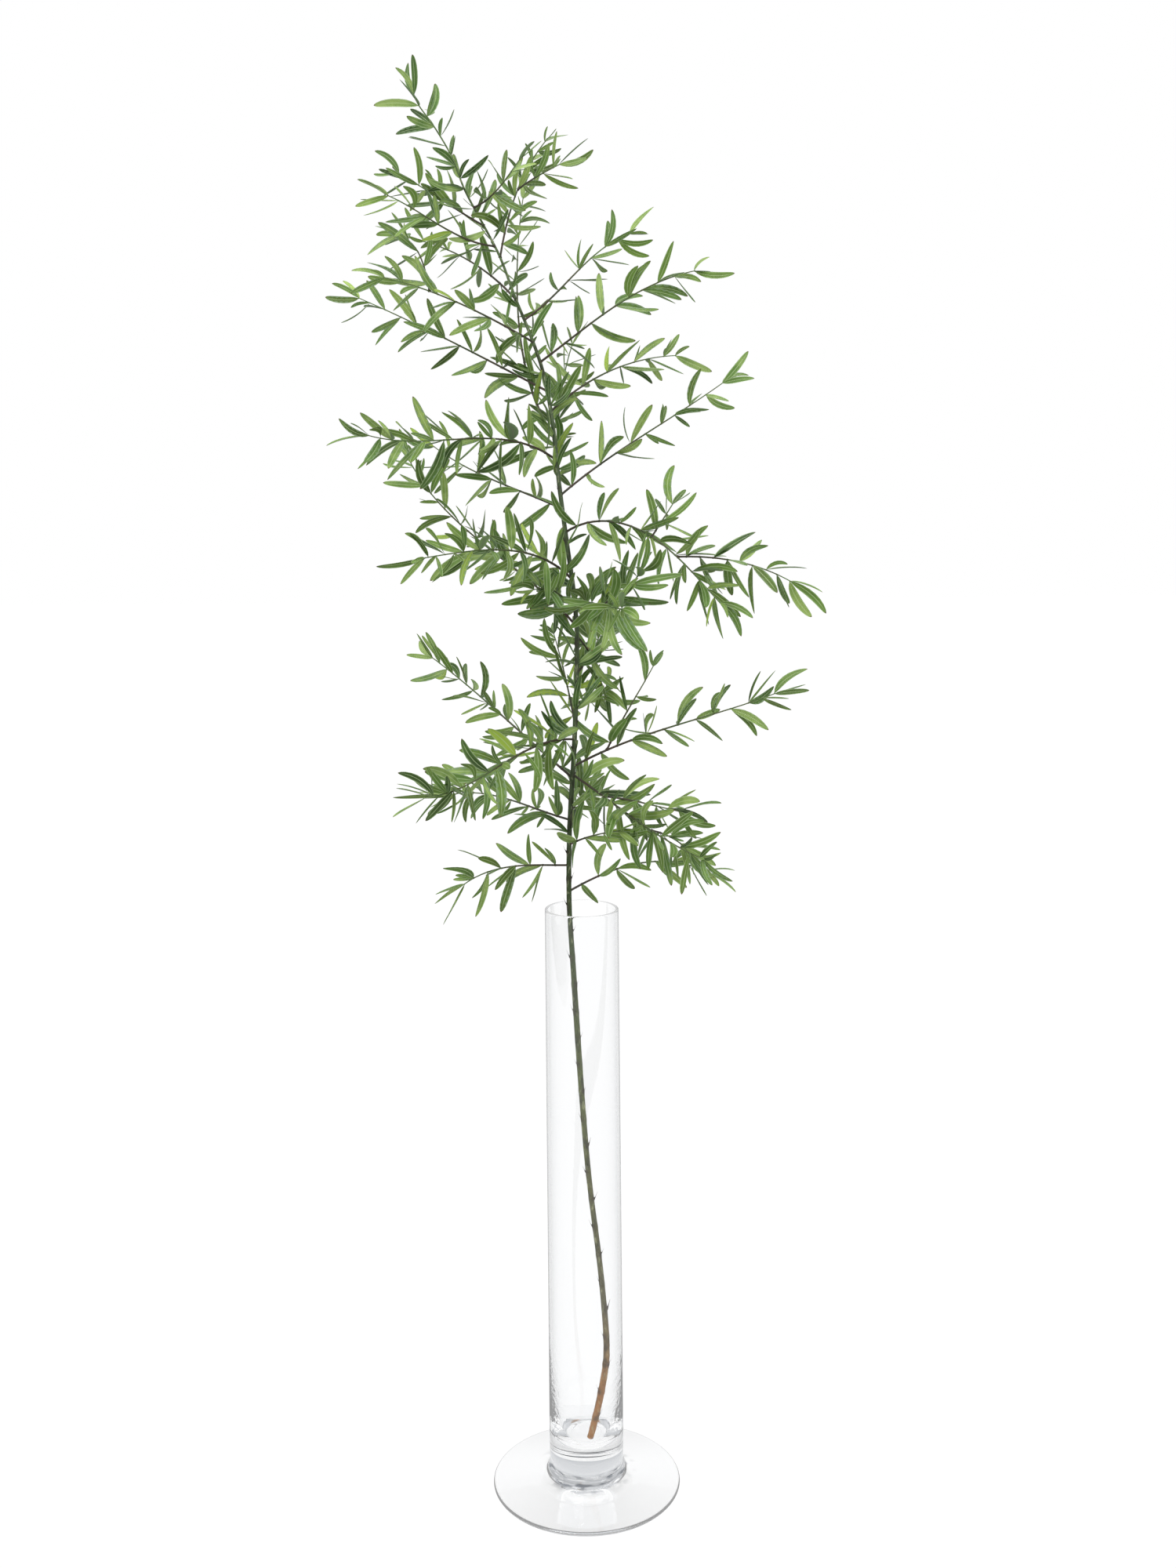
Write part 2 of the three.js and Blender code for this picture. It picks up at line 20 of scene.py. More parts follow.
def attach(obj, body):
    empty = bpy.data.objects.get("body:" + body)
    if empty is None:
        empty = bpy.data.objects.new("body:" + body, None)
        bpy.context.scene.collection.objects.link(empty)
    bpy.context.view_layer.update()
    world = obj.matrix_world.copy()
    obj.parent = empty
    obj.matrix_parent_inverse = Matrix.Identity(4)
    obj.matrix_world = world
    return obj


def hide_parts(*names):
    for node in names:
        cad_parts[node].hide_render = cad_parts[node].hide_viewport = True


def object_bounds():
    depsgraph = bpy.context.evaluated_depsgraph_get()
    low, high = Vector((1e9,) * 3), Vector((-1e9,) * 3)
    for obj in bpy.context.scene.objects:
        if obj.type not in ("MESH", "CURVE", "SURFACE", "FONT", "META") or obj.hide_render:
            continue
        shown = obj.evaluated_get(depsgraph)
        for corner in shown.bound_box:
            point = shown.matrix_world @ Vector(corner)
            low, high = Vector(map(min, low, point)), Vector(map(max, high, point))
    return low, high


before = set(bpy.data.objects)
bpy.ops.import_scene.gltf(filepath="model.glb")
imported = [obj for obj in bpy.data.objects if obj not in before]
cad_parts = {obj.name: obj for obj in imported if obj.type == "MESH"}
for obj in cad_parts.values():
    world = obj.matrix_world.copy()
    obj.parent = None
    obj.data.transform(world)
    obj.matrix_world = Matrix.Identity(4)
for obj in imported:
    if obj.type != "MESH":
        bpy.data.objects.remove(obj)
CAD_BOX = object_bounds()

Colour = tuple[float, ...]
Span = tuple[float, float]
Triple = tuple[float, float, float]
Pairs = tuple[Span, ...]
Socket = bpy.types.NodeSocket
Value = Socket | float
Outputs = bpy.types.NodeOutputs
Piece = bpy.types.Object
Mesh = bpy.types.Mesh

LOG = logging.getLogger("fern_stem")
MM = 0.001
WHITE = (1.0, 1.0, 1.0, 1.0)
BLACK = (0.0, 0.0, 0.0, 1.0)
TINY = 1e-6
PATCH_REACH = (0.3, 0.7)
GRAIN_REACH = (0.25, 0.75)
UP = Vector((0.0, 0.0, 1.0))
AWAY = Vector((0.0, 1.0, 0.0))
LIGHT_SIDE = Vector((0.15, -0.9, 0.4))
BODY = "root"


class Slot(Enum):
    """Names of material slots."""

    GLASS = "vase_glass"
    BARK = "stem_bark"
    FOLIAGE = "foliage"


class LeafForm(Enum):
    """How far a blade bows sideways, as a share of its length."""

    STRAIGHT = 0.0
    BOWED_LEFT = -0.05
    BOWED_RIGHT = 0.05
    SICKLE_LEFT = -0.11
    SICKLE_RIGHT = 0.11


def mixed(start: float, end: float, share: float) -> float:
    """Value at a share of the way from start to end."""
    return start + (end - start) * share


def along_pairs(pairs: Sequence[Span], place: float) -> float:
    """Value at a place in a list of (place, value) pairs."""
    places, values = zip(*pairs)
    return float(np.interp(place, places, values))


class Draws:
    """A stream of even draws between 0 and 1 that is the same for the same seed."""

    MODULUS = 2147483647
    MULTIPLIER = 48271
    SEED_STEP = 7919
    SEED_START = 104729

    def __init__(self, seed: int) -> None:
        """Starts the stream.

        Args:
            seed: a whole number that names the stream.
        """
        self.state = (seed * self.SEED_STEP + self.SEED_START) % self.MODULUS
        self.draw()
        self.draw()

    def draw(self) -> float:
        """The next draw."""
        self.state = (self.state * self.MULTIPLIER) % self.MODULUS
        return self.state / self.MODULUS

    def within(self, low: float, high: float) -> float:
        """The next draw, spread over a range."""
        return mixed(low, high, self.draw())


class Path:
    """A polyline with the distance of each point along it."""

    def __init__(self, points: Sequence[Vector]) -> None:
        """Measures the polyline.

        Args:
            points: its corners in order.
        """
        self.points = list(points)
        self.distances = [0.0]
        for before, after in zip(self.points, self.points[1:]):
            self.distances.append(self.distances[-1] + (after - before).length)
        self.length = self.distances[-1]

    def place(self, distance: float) -> tuple[Vector, Vector]:
        """Point and direction at a distance along the path.

        Args:
            distance: metres from the start.

        Returns:
            The point, and the unit tangent of the stretch that holds it.
        """
        index = int(np.searchsorted(self.distances, distance))
        index = min(max(index, 1), len(self.points) - 1)
        before, after = self.points[index - 1], self.points[index]
        step = self.distances[index] - self.distances[index - 1]
        share = (distance - self.distances[index - 1]) / step
        return before.lerp(after, share), (after - before).normalized()

    def distance_at_height(self, height: float) -> float:
        """Distance along a rising path at which it reaches a height."""
        heights = [point.z for point in self.points]
        return float(np.interp(height, heights, self.distances))

    def at_height(self, height: float) -> Vector:
        """Point of a rising path at a height."""
        return self.place(self.distance_at_height(height))[0]


@dataclass(frozen=True)
class Twig:
    """A side branch: its length, the rise of its direction at root, middle and tip, and its headings."""

    length: float
    rise: Triple
    heading: Span
    at: float = 0.0

    def path(self, root: Vector, steps: int = 24) -> Path:
        """Walks from the root, turning evenly.

        Args:
            root: where the branch starts.
            steps: number of straight steps.

        Returns:
            The branch's axis.
        """
        points = [root.copy()]
        first, middle, last = self.rise
        step = self.length / steps
        for index in range(steps):
            share = (index + 0.5) / steps
            up = first * (1 - share) * (1 - 2 * share)
            up += middle * 4 * share * (1 - share)
            up += last * share * (2 * share - 1)
            up = math.radians(up)
            around = math.radians(mixed(*self.heading, share))
            level = math.cos(up) * step
            move = Vector((level * math.cos(around), level * math.sin(around), math.sin(up) * step))
            points.append(points[-1] + move)
        return Path(points)


@dataclass(frozen=True)
class Frond:
    """A leafy branch, rooted at a height on the main axis, with its own leaf seed and node spacing."""

    node: str
    seed: int
    spacing_share: float
    height: float
    main: Twig
    leaf: float = 0.037
    twigs: tuple[Twig, ...] = ()


FRONDS = (
    Frond("leader_right", 1122, 0.82, 1.073, Twig(0.123, (74, 66, 51), (59, 19)), 0.033,
          (Twig(0.045, (38, 28, 25), (-5, -10), at=0.55),)),
    Frond("spray_top", 1033, 1.2, 1.117, Twig(0.066, (12, 36, 36), (-32, -48)), 0.031),
    Frond("frond_left_01", 1095, 0.93, 1.101, Twig(0.106, (30, 33, 31), (153, 154)), 0.034),
    Frond("frond_left_02", 1051, 1.2, 1.083, Twig(0.110, (0, 25, 16), (-154, -147)), 0.036),
    Frond("frond_left_03", 1157, 1.2, 1.035, Twig(0.141, (44, 29, 14), (141, 154)), 0.034),
    Frond("frond_left_04", 1079, 1.38, 0.997, Twig(0.146, (28, 22, 10), (-160, -161)),
          twigs=(Twig(0.072, (57, 58, 12), (109, 156), at=0.71),)),
    Frond("frond_left_05", 1013, 1.38, 0.953, Twig(0.206, (28, 27, 24), (162, 163))),
    Frond("frond_left_06", 1040, 1.05, 0.911, Twig(0.259, (49, 68, 70), (137, 67)), 0.033),
    Frond("frond_left_07", 1111, 0.82, 0.891, Twig(0.179, (37, -3, 15), (-154, -156)), 0.041),
    Frond("frond_left_08", 1010, 1.38, 0.848, Twig(0.152, (22, 21, 34), (150, 150))),
    Frond("frond_left_09", 1166, 0.82, 0.785, Twig(0.190, (34, 4, -6), (-125, -135)), 0.039),
    Frond("frond_left_10", 1103, 0.82, 0.755, Twig(0.062, (41, 27, -15), (-122, -142))),
    Frond("frond_left_11", 1058, 0.82, 0.743, Twig(0.215, (50, 38, 62), (167, 167))),
    Frond("frond_left_12", 1109, 0.72, 0.643, Twig(0.185, (10, -17, 9), (-137, -125)), 0.039),
    Frond("frond_left_13", 1162, 1.05, 0.655, Twig(0.113, (36, 44, 46), (98, 110))),
    Frond("frond_left_14", 1048, 0.72, 0.609, Twig(0.176, (35, 37, 32), (154, 156)), 0.034),
    Frond("frond_left_15", 1021, 0.82, 0.572, Twig(0.122, (9, 12, -15), (154, 157)), 0.035),
    Frond("frond_left_16", 1130, 1.05, 0.532, Twig(0.101, (4, 0, -31), (-158, -155))),
    Frond("frond_right_01", 1090, 1.38, 1.017, Twig(0.138, (32, 44, 20), (27, 24)), 0.033),
    Frond("frond_right_02", 1069, 1.2, 0.979, Twig(0.162, (33, 31, 8), (-18, -15))),
    Frond("frond_right_03", 1145, 1.38, 0.935, Twig(0.158, (37, 22, 4), (42, 30))),
    Frond("frond_right_04", 1040, 0.93, 0.868, Twig(0.166, (44, 59, 53), (99, 64)), 0.033),
    Frond("frond_right_05", 1159, 1.38, 0.860, Twig(0.183, (40, 32, 35), (12, 11))),
    Frond("frond_right_06", 1080, 0.93, 0.827, Twig(0.185, (31, -28, -38), (-27, -47)), 0.039,
          (Twig(0.100, (2, -12, -30), (-5, -6), at=0.67), Twig(0.043, (42, 42, 43), (51, 51), at=0.5))),
    Frond("frond_right_07", 1011, 0.82, 0.767, Twig(0.170, (0, 0, 1), (-76, -78)), 0.040,
          (Twig(0.050, (18, 36, 56), (-23, -40), at=0.54),)),
    Frond("frond_right_08", 1041, 1.2, 0.735, Twig(0.073, (-38, -44, -48), (53, 65))),
    Frond("frond_right_09", 1015, 0.72, 0.701, Twig(0.087, (20, 25, 29), (67, 77))),
    Frond("frond_right_10", 1142, 0.93, 0.675, Twig(0.062, (2, 4, 21), (59, 66))),
    Frond("frond_right_11", 1118, 1.38, 0.619, Twig(0.197, (27, 15, 19), (11, 10)),
          twigs=(Twig(0.095, (52, 47, 51), (48, 42), at=0.17),)),
    Frond("frond_right_12", 1088, 0.93, 0.612, Twig(0.172, (-19, -19, -7), (-48, -51)), 0.038,
          (Twig(0.034, (-7, -24, -41), (-16, -22), at=0.62), Twig(0.072, (0, -8, -5), (-22, -30), at=0.25))),
    Frond("frond_right_13", 1130, 0.72, 0.578, Twig(0.063, (11, 7, 6), (78, 69))),
    Frond("frond_right_14", 1024, 1.2, 0.550, Twig(0.078, (25, 17, 13), (-54, -53))),
    Frond("frond_right_15", 1119, 1.38, 0.509, Twig(0.131, (27, 8, -29), (12, 10)), 0.035),
)


@dataclass(frozen=True)
class Leaf:
    """One leaf: three points of its middle line, the side that its face turns to, and its width."""

    root: Vector
    middle: Vector
    tip: Vector
    face: Vector
    width: float

    @property
    def length(self) -> float:
        """Length of the two straight halves of the middle line."""
        return (self.middle - self.root).length + (self.tip - self.middle).length


@dataclass(frozen=True)
class LeafRule:
    """How leaves stand on a branch, in degrees and in shares of a leaf's length."""

    width_share: float = 0.155
    least_width: float = 0.5 * MM
    lean_at_root: float = 68.0
    lean_at_tip: float = 48.0
    lean_in_tuft: float = 24.0
    lean_change: Span = (-16.0, 20.0)
    fan: float = 150.0
    side_change: Span = (-38.0, 38.0)
    turn_change: Span = (-25.0, 25.0)
    small_share: float = 0.14
    small_size: float = 0.55
    size: Span = (0.78, 1.22)
    size_at_root: float = 1.04
    size_at_tip: float = 0.9
    bend: Span = (-0.1, 0.75)
    droop: Span = (-0.1, 0.4)
    roll: Span = (-75.0, 75.0)
    threes_share: float = 0.45
    spacing_change: Span = (0.85, 1.15)
    spacing: float = 11.6 * MM
    bare_root: float = 13.0 * MM
    bare_twig_root: float = 8.0 * MM
    tuft_depth: float = 1.5 * MM
    tuft_turns: tuple[float, ...] = (0.0, 120.0, 240.0)

    def leaves_at(
        self, place: tuple[Vector, Vector], turn: float, count: int, leaf: float, lean: float, draws: Draws
    ) -> list[Leaf]:
        """The leaves of one node, fanned out on one side of the branch.

        Args:
            place: point and direction of the branch at the node.
            turn: the side that the leaves grow to, in degrees round the branch.
            count: number of leaves.
            leaf: usual leaf length here.
            lean: usual angle between leaf and branch.
            draws: the frond's stream of draws.

        Returns:
            The leaves.
        """
        point, tangent = place
        side = tangent.cross(AWAY).normalized()
        depth = side.cross(tangent)
        leaves = []
        for index in range(count):
            fan = ((index - (count - 1) / 2) * self.fan) / count
            azimuth = math.radians(turn + fan + draws.within(*self.turn_change))
            incline = math.radians(lean + draws.within(*self.lean_change))
            share = draws.draw()
            size = self.small_size if share < self.small_share else mixed(*self.size, share)
            length = leaf * size
            bend = draws.within(*self.bend)
            droop = draws.within(*self.droop)
            roll = math.radians(draws.within(*self.roll))
            outward = side * math.cos(azimuth) + depth * math.sin(azimuth)
            start = tangent * math.cos(incline) + outward * math.sin(incline)
            end = (start + tangent * bend - UP * droop).normalized()
            middle = point + start * (length / 2)
            tip = middle + end * (length / 2)
            chord = (tip - point).normalized()
            face = (LIGHT_SIDE - chord * LIGHT_SIDE.dot(chord)).normalized()
            face.rotate(Matrix.Rotation(roll, 3, chord))
            leaves.append(Leaf(point, middle, tip, face, length * self.width_share + self.least_width))
        return leaves

    def along(
        self, path: Path, start: float, end: float, leaf: float, spacing: float, tuft: bool, draws: Draws
    ) -> tuple[list[float], list[Leaf]]:
        """Nodes along a branch, each with its leaves, and three leaves round the tip.

        Args:
            path: the branch's axis.
            start: distance of the first node.
            end: distance past which no node stands.
            leaf: usual leaf length.
            spacing: usual distance between nodes.
            tuft: whether the end carries three more leaves.
            draws: the frond's stream of draws.

        Returns:
            The distances of the nodes, and all leaves.
        """
        nodes = []
        leaves = []
        distance = start
        side_turn = 0.0 if draws.draw() < 0.5 else 180.0
        while distance < end - spacing / 2:
            count = 3 if draws.draw() < self.threes_share else 2
            turn = side_turn + draws.within(*self.side_change)
            share = (distance - start) / (end - start)
            size = leaf * mixed(self.size_at_root, self.size_at_tip, share)
            lean = mixed(self.lean_at_root, self.lean_at_tip, share)
            leaves += self.leaves_at(path.place(distance), turn, count, size, lean, draws)
            nodes.append(distance)
            distance += spacing * draws.within(*self.spacing_change)
            side_turn += 180.0
        if tuft:
            place = path.place(end - self.tuft_depth)
            for turn in self.tuft_turns:
                leaves += self.leaves_at(place, turn, 1, leaf * self.size_at_tip, self.lean_in_tuft, draws)
        return nodes, leaves


RULE = LeafRule()


def deselect_all() -> None:
    """Leaves nothing selected, so that the next operator acts on its own object alone."""
    bpy.ops.object.select_all(action="DESELECT")


def join(objects: Sequence[Piece], name: str) -> Piece:
    """Joins mesh objects in the first of them.

    Args:
        objects: the objects to join.
        name: name of the result and its mesh.

    Returns:
        The joined object.
    """
    deselect_all()
    for obj in objects:
        obj.select_set(True)
    bpy.context.view_layer.objects.active = objects[0]
    if len(objects) > 1:
        bpy.ops.object.join()
    result = bpy.context.view_layer.objects.active
    result.name = name
    result.data.name = name
    return result


def settle(obj: Piece) -> None:
    """Puts an object's place in its mesh, so that the object sits at the origin, unturned and unscaled."""
    deselect_all()
    obj.select_set(True)
    bpy.context.view_layer.objects.active = obj
    bpy.ops.object.transform_apply(location=True, rotation=True, scale=True)


def coordinates(mesh: Mesh) -> np.ndarray:
    """Vertex positions of a mesh as rows."""
    flat = np.empty(len(mesh.vertices) * 3, np.float32)
    mesh.vertices.foreach_get("co", flat)
    return flat.reshape(-1, 3).astype(float)


def set_coordinates(mesh: Mesh, rows: np.ndarray) -> None:
    """Writes rows of vertex positions back to a mesh."""
    mesh.vertices.foreach_set("co", rows.astype(np.float32).ravel())
    mesh.update()


def set_attribute(mesh: Mesh, name: str, values: np.ndarray | float, domain: str = "POINT") -> None:
    """Stores a number for each vertex or face under a name that materials read.

    Args:
        mesh: the mesh that carries it.
        name: the attribute's name.
        values: one number for all, or one for each.
        domain: POINT or FACE.
    """
    attribute = mesh.attributes.get(name) or mesh.attributes.new(name, "FLOAT", domain)
    full = np.broadcast_to(np.asarray(values, np.float32), (len(attribute.data),))
    attribute.data.foreach_set("value", np.ascontiguousarray(full))


def placed(name: str, mesh: Mesh) -> Piece:
    """A new object in the scene for a mesh."""
    obj = bpy.data.objects.new(name, mesh)
    bpy.context.scene.collection.objects.link(obj)
    return obj


def close_edit(smooth_angle: float) -> None:
    """Turns the faces of the mesh in edit mode outward and smooths it.

    Args:
        smooth_angle: the angle in degrees past which an edge stays sharp.
    """
    bpy.ops.mesh.select_all(action="SELECT")
    bpy.ops.mesh.normals_make_consistent(inside=False)
    bpy.ops.object.mode_set(mode="OBJECT")
    bpy.ops.object.shade_smooth_by_angle(angle=math.radians(smooth_angle))


def filled_ring(
    name: str, sides: int, radius: float, centre: Triple = (0.0, 0.0, 0.0), turn: Triple = (0.0, 0.0, 0.0)
) -> Piece:
    """A filled ring to draw a shape out from.

    Args:
        name: name of the object and its mesh.
        sides: number of sides.
        radius: its radius.
        centre: its middle.
        turn: how it is turned from lying flat, in radians about each axis.

    Returns:
        The ring, with its place in its mesh.
    """
    deselect_all()
    bpy.ops.mesh.primitive_circle_add(vertices=sides, radius=radius, fill_type="NGON", location=centre,
                                      rotation=turn)
    obj = bpy.context.object
    settle(obj)
    obj.name = name
    obj.data.name = name
    return obj


def draw_out(
    rings: Sequence[tuple[Sequence[float], float]], widening: Sequence[bool], smooth_angle: float,
    pointed: bool = False,
) -> None:
    """Extrudes the active object, a filled ring, through further rings.

    Args:
        rings: centre and width of each ring, the first one included.
        widening: for each axis, whether the rings widen along it.
        smooth_angle: the angle in degrees past which an edge stays sharp.
        pointed: whether the last ring shrinks to a point.
    """
    bpy.ops.object.mode_set(mode="EDIT")
    bpy.ops.mesh.select_all(action="SELECT")
    for (before, width), (after, next_width) in zip(rings, rings[1:]):
        move = [end - start for start, end in zip(before, after)]
        bpy.ops.mesh.extrude_region_move(TRANSFORM_OT_translate={"value": move})
        growth = [next_width / width if widens else 1.0 for widens in widening]
        bpy.ops.transform.resize(value=growth, center_override=after)
    if pointed:
        bpy.ops.mesh.merge(type="CENTER")
    close_edit(smooth_angle)


def tube(name: str, points: Sequence[Vector], radii: Sequence[float], roundness: int) -> Piece:
    """A closed round tube along a line, made as a path curve with a round bevel and turned to a mesh.

    Args:
        name: the object's name.
        points: the line.
        radii: the tube's radius at each point.
        roundness: bevel resolution of the section.

    Returns:
        The tube as a mesh object.
    """
    deselect_all()
    bpy.ops.curve.primitive_nurbs_path_add(location=(0.0, 0.0, 0.0))
    obj = bpy.context.object
    curve = obj.data
    curve.splines.clear()
    spline = curve.splines.new("POLY")
    spline.points.add(len(points) - 1)
    for item, point, radius in zip(spline.points, points, radii):
        item.co = (*point, 1.0)
        item.radius = radius
    curve.bevel_depth = 1.0
    curve.bevel_resolution = roundness
    curve.use_fill_caps = True
    bpy.ops.object.convert(target="MESH")
    obj = bpy.context.object
    obj.name = name
    bpy.ops.object.mode_set(mode="EDIT")
    bpy.ops.mesh.select_all(action="SELECT")
    bpy.ops.mesh.remove_doubles(threshold=TINY)
    close_edit(50.0)
    return obj


def nearest_share(mesh: Mesh, path: Path) -> np.ndarray:
    """Share of a path's length at which each vertex of a tube lies, by the nearest corner of the path."""
    corners = np.array(path.points, float)
    rows = coordinates(mesh)
    gaps = ((rows[:, None, :] - corners[None, :, :]) ** 2).sum(2)
    return np.array(path.distances)[gaps.argmin(1)] / path.length


class Shading:
    """Adds nodes to a material, a world or a node group, with their settings and links in one call."""

    def __init__(self, tree: bpy.types.NodeTree) -> None:
        """Works on one node tree.

        Args:
            tree: the tree that gets the nodes.
        """
        self.tree = tree

    def add(self, kind: str, inputs: dict | None = None, **settings: object) -> bpy.types.Node:
        """Adds one node.

        Args:
            kind: the node's type, without its ShaderNode prefix.
            inputs: a value or an output socket for each named or numbered input.
            settings: the node's own properties.

        Returns:
            The node.
        """
        node = self.tree.nodes.new(f"ShaderNode{kind}")
        for key, value in settings.items():
            setattr(node, key, value)
        for key, value in (inputs or {}).items():
            if isinstance(value, Socket):
                self.tree.links.new(value, node.inputs[key])
            else:
                node.inputs[key].default_value = value
        return node

    def math(self, operation: str, *values: Value) -> Socket:
        """Output of a Math node fed with numbers or sockets."""
        return self.add("Math", dict(enumerate(values)), operation=operation).outputs[0]

    def plus(self, first: Value, second: Value) -> Socket:
        """Sum of two numbers or sockets."""
        return self.math("ADD", first, second)

    def minus(self, first: Value, second: Value) -> Socket:
        """Difference of two numbers or sockets."""
        return self.math("SUBTRACT", first, second)

    def times(self, first: Value, second: Value) -> Socket:
        """Product of two numbers or sockets."""
        return self.math("MULTIPLY", first, second)

    def ramp(self, value: Socket, low: float, high: float, start: float = 0.0, end: float = 1.0) -> Socket:
        """Output of a smooth Map Range node from low..high to start..end."""
        inputs = {0: value, 1: low, 2: high, 3: start, 4: end}
        return self.add("MapRange", inputs, interpolation_type="SMOOTHSTEP").outputs[0]

    def band(self, value: Socket, rise: Span, fall: Span) -> Socket:
        """A mask that goes up from 0 to 1 over one range and down again over another."""
        return self.times(self.ramp(value, *rise), self.ramp(value, *fall, 1.0, 0.0))

    def mix(self, share: Value, first: object, second: object, blend: str = "MIX") -> Socket:
        """Output of a colour Mix node."""
        inputs = {0: share, 6: first, 7: second}
        return self.add("Mix", inputs, data_type="RGBA", blend_type=blend).outputs[2]

    def noise(self, vector: Socket, scale: float, detail: float = 3.0) -> Socket:
        """Factor of a Noise Texture."""
        return self.add("TexNoise", {"Vector": vector, "Scale": scale, "Detail": detail}).outputs[0]

    def stretched(self, vector: Socket, scale: Triple) -> Socket:
        """A vector scaled by a Mapping node."""
        return self.add("Mapping", {"Vector": vector, "Scale": scale}).outputs[0]

    def grain(self, place: Socket, scale: Triple, detail: float = 3.0) -> Socket:
        """Factor of a Noise Texture with a scale of its own along each axis."""
        return self.noise(self.stretched(place, scale), 1.0, detail)

    def length(self, vector: Socket) -> Socket:
        """Length of a vector."""
        return self.add("VectorMath", {0: vector}, operation="LENGTH").outputs["Value"]

    def attribute(self, name: str) -> Socket:
        """Number stored on the mesh under a name."""
        return self.add("Attribute", attribute_name=name).outputs["Fac"]

    def place(self) -> Socket:
        """Position in the object's own frame, in metres."""
        return self.add("TexCoord").outputs["Object"]

    def mottle(self, patch_scale: float, grain_scale: float) -> Outputs:
        """Outputs of the shared mottle, placed in the object's own frame."""
        inputs = {"Vector": self.place(), "Patch Scale": patch_scale, "Grain Scale": grain_scale}
        return self.add("Group", inputs, node_tree=mottle_group()).outputs

    def bump(self, height: Socket, strength: float, depth: float) -> Socket:
        """Normal of a relief whose height of 1 stands for a depth in metres."""
        return self.add("Bump", {"Strength": strength, "Distance": depth, "Height": height}).outputs[0]

    def skin(
        self, colour: Socket, roughness: Value, shine: float, relief: Socket, strength: float,
        depth: float,
    ) -> Socket:
        """Output of an opaque surface with a fine relief.

        Args:
            colour: its colour.
            roughness: its roughness.
            shine: its specular level.
            relief: height of the relief, from 0 to about 1.
            strength: how strongly the relief shows.
            depth: metres that a height of 1 stands for.

        Returns:
            The shader's output.
        """
        inputs = {"Base Color": colour, "Roughness": roughness, "Specular IOR Level": shine}
        inputs["Normal"] = self.bump(relief, strength, depth)
        return self.add("BsdfPrincipled", inputs).outputs[0]

    def finish(self, first: Socket, share: Value = 0.0, second: Socket | None = None) -> None:
        """Ends a material with one shader, or with a mix of two.

        Args:
            first: the main shader.
            share: share of the second shader.
            second: the other shader, if there is one.
        """
        if second is not None:
            first = self.add("MixShader", {0: share, 1: first, 2: second}).outputs[0]
        self.add("OutputMaterial", {"Surface": first})


def new_material(name: str) -> tuple[bpy.types.Material, Shading]:
    """An empty node material.

    Args:
        name: the material's name.

    Returns:
        The material and the builder of its nodes.
    """
    material = bpy.data.materials.new(name)
    material.use_nodes = True
    material.node_tree.nodes.clear()
    return material, Shading(material.node_tree)


def linear(red: float, green: float, blue: float) -> Colour:
    """A screen colour of 0 to 255 as the linear colour that shaders take."""
    def channel(value: float) -> float:
        """One channel, turned to linear light."""
        value /= 255.0
        return value / 12.92 if value <= 0.04045 else ((value + 0.055) / 1.055) ** 2.4
    return channel(red), channel(green), channel(blue), 1.0


def mottle_group() -> bpy.types.NodeTree:
    """A shared effect: soft patches and fine grain of living skin, as two masks.

    Returns:
        The node group, with Vector, Patch Scale and Grain Scale in, and Patches and Grain out.
    """
    existing = bpy.data.node_groups.get("skin_mottle")
    if existing:
        return existing
    group = bpy.data.node_groups.new("skin_mottle", "ShaderNodeTree")
    group.interface.new_socket("Vector", in_out="INPUT", socket_type="NodeSocketVector")
    for name in ("Patch Scale", "Grain Scale"):
        group.interface.new_socket(name, in_out="INPUT", socket_type="NodeSocketFloat")
    for name in ("Patches", "Grain"):
        group.interface.new_socket(name, in_out="OUTPUT", socket_type="NodeSocketFloat")
    shading = Shading(group)
    source = group.nodes.new("NodeGroupInput")
    result = group.nodes.new("NodeGroupOutput")
    patches = shading.noise(source.outputs["Vector"], 1.0)
    group.links.new(source.outputs["Patch Scale"], patches.node.inputs["Scale"])
    grain = shading.noise(source.outputs["Vector"], 1.0, detail=2.0)
    group.links.new(source.outputs["Grain Scale"], grain.node.inputs["Scale"])
    group.links.new(shading.ramp(patches, *PATCH_REACH), result.inputs["Patches"])
    group.links.new(shading.ramp(grain, *GRAIN_REACH), result.inputs["Grain"])
    return group


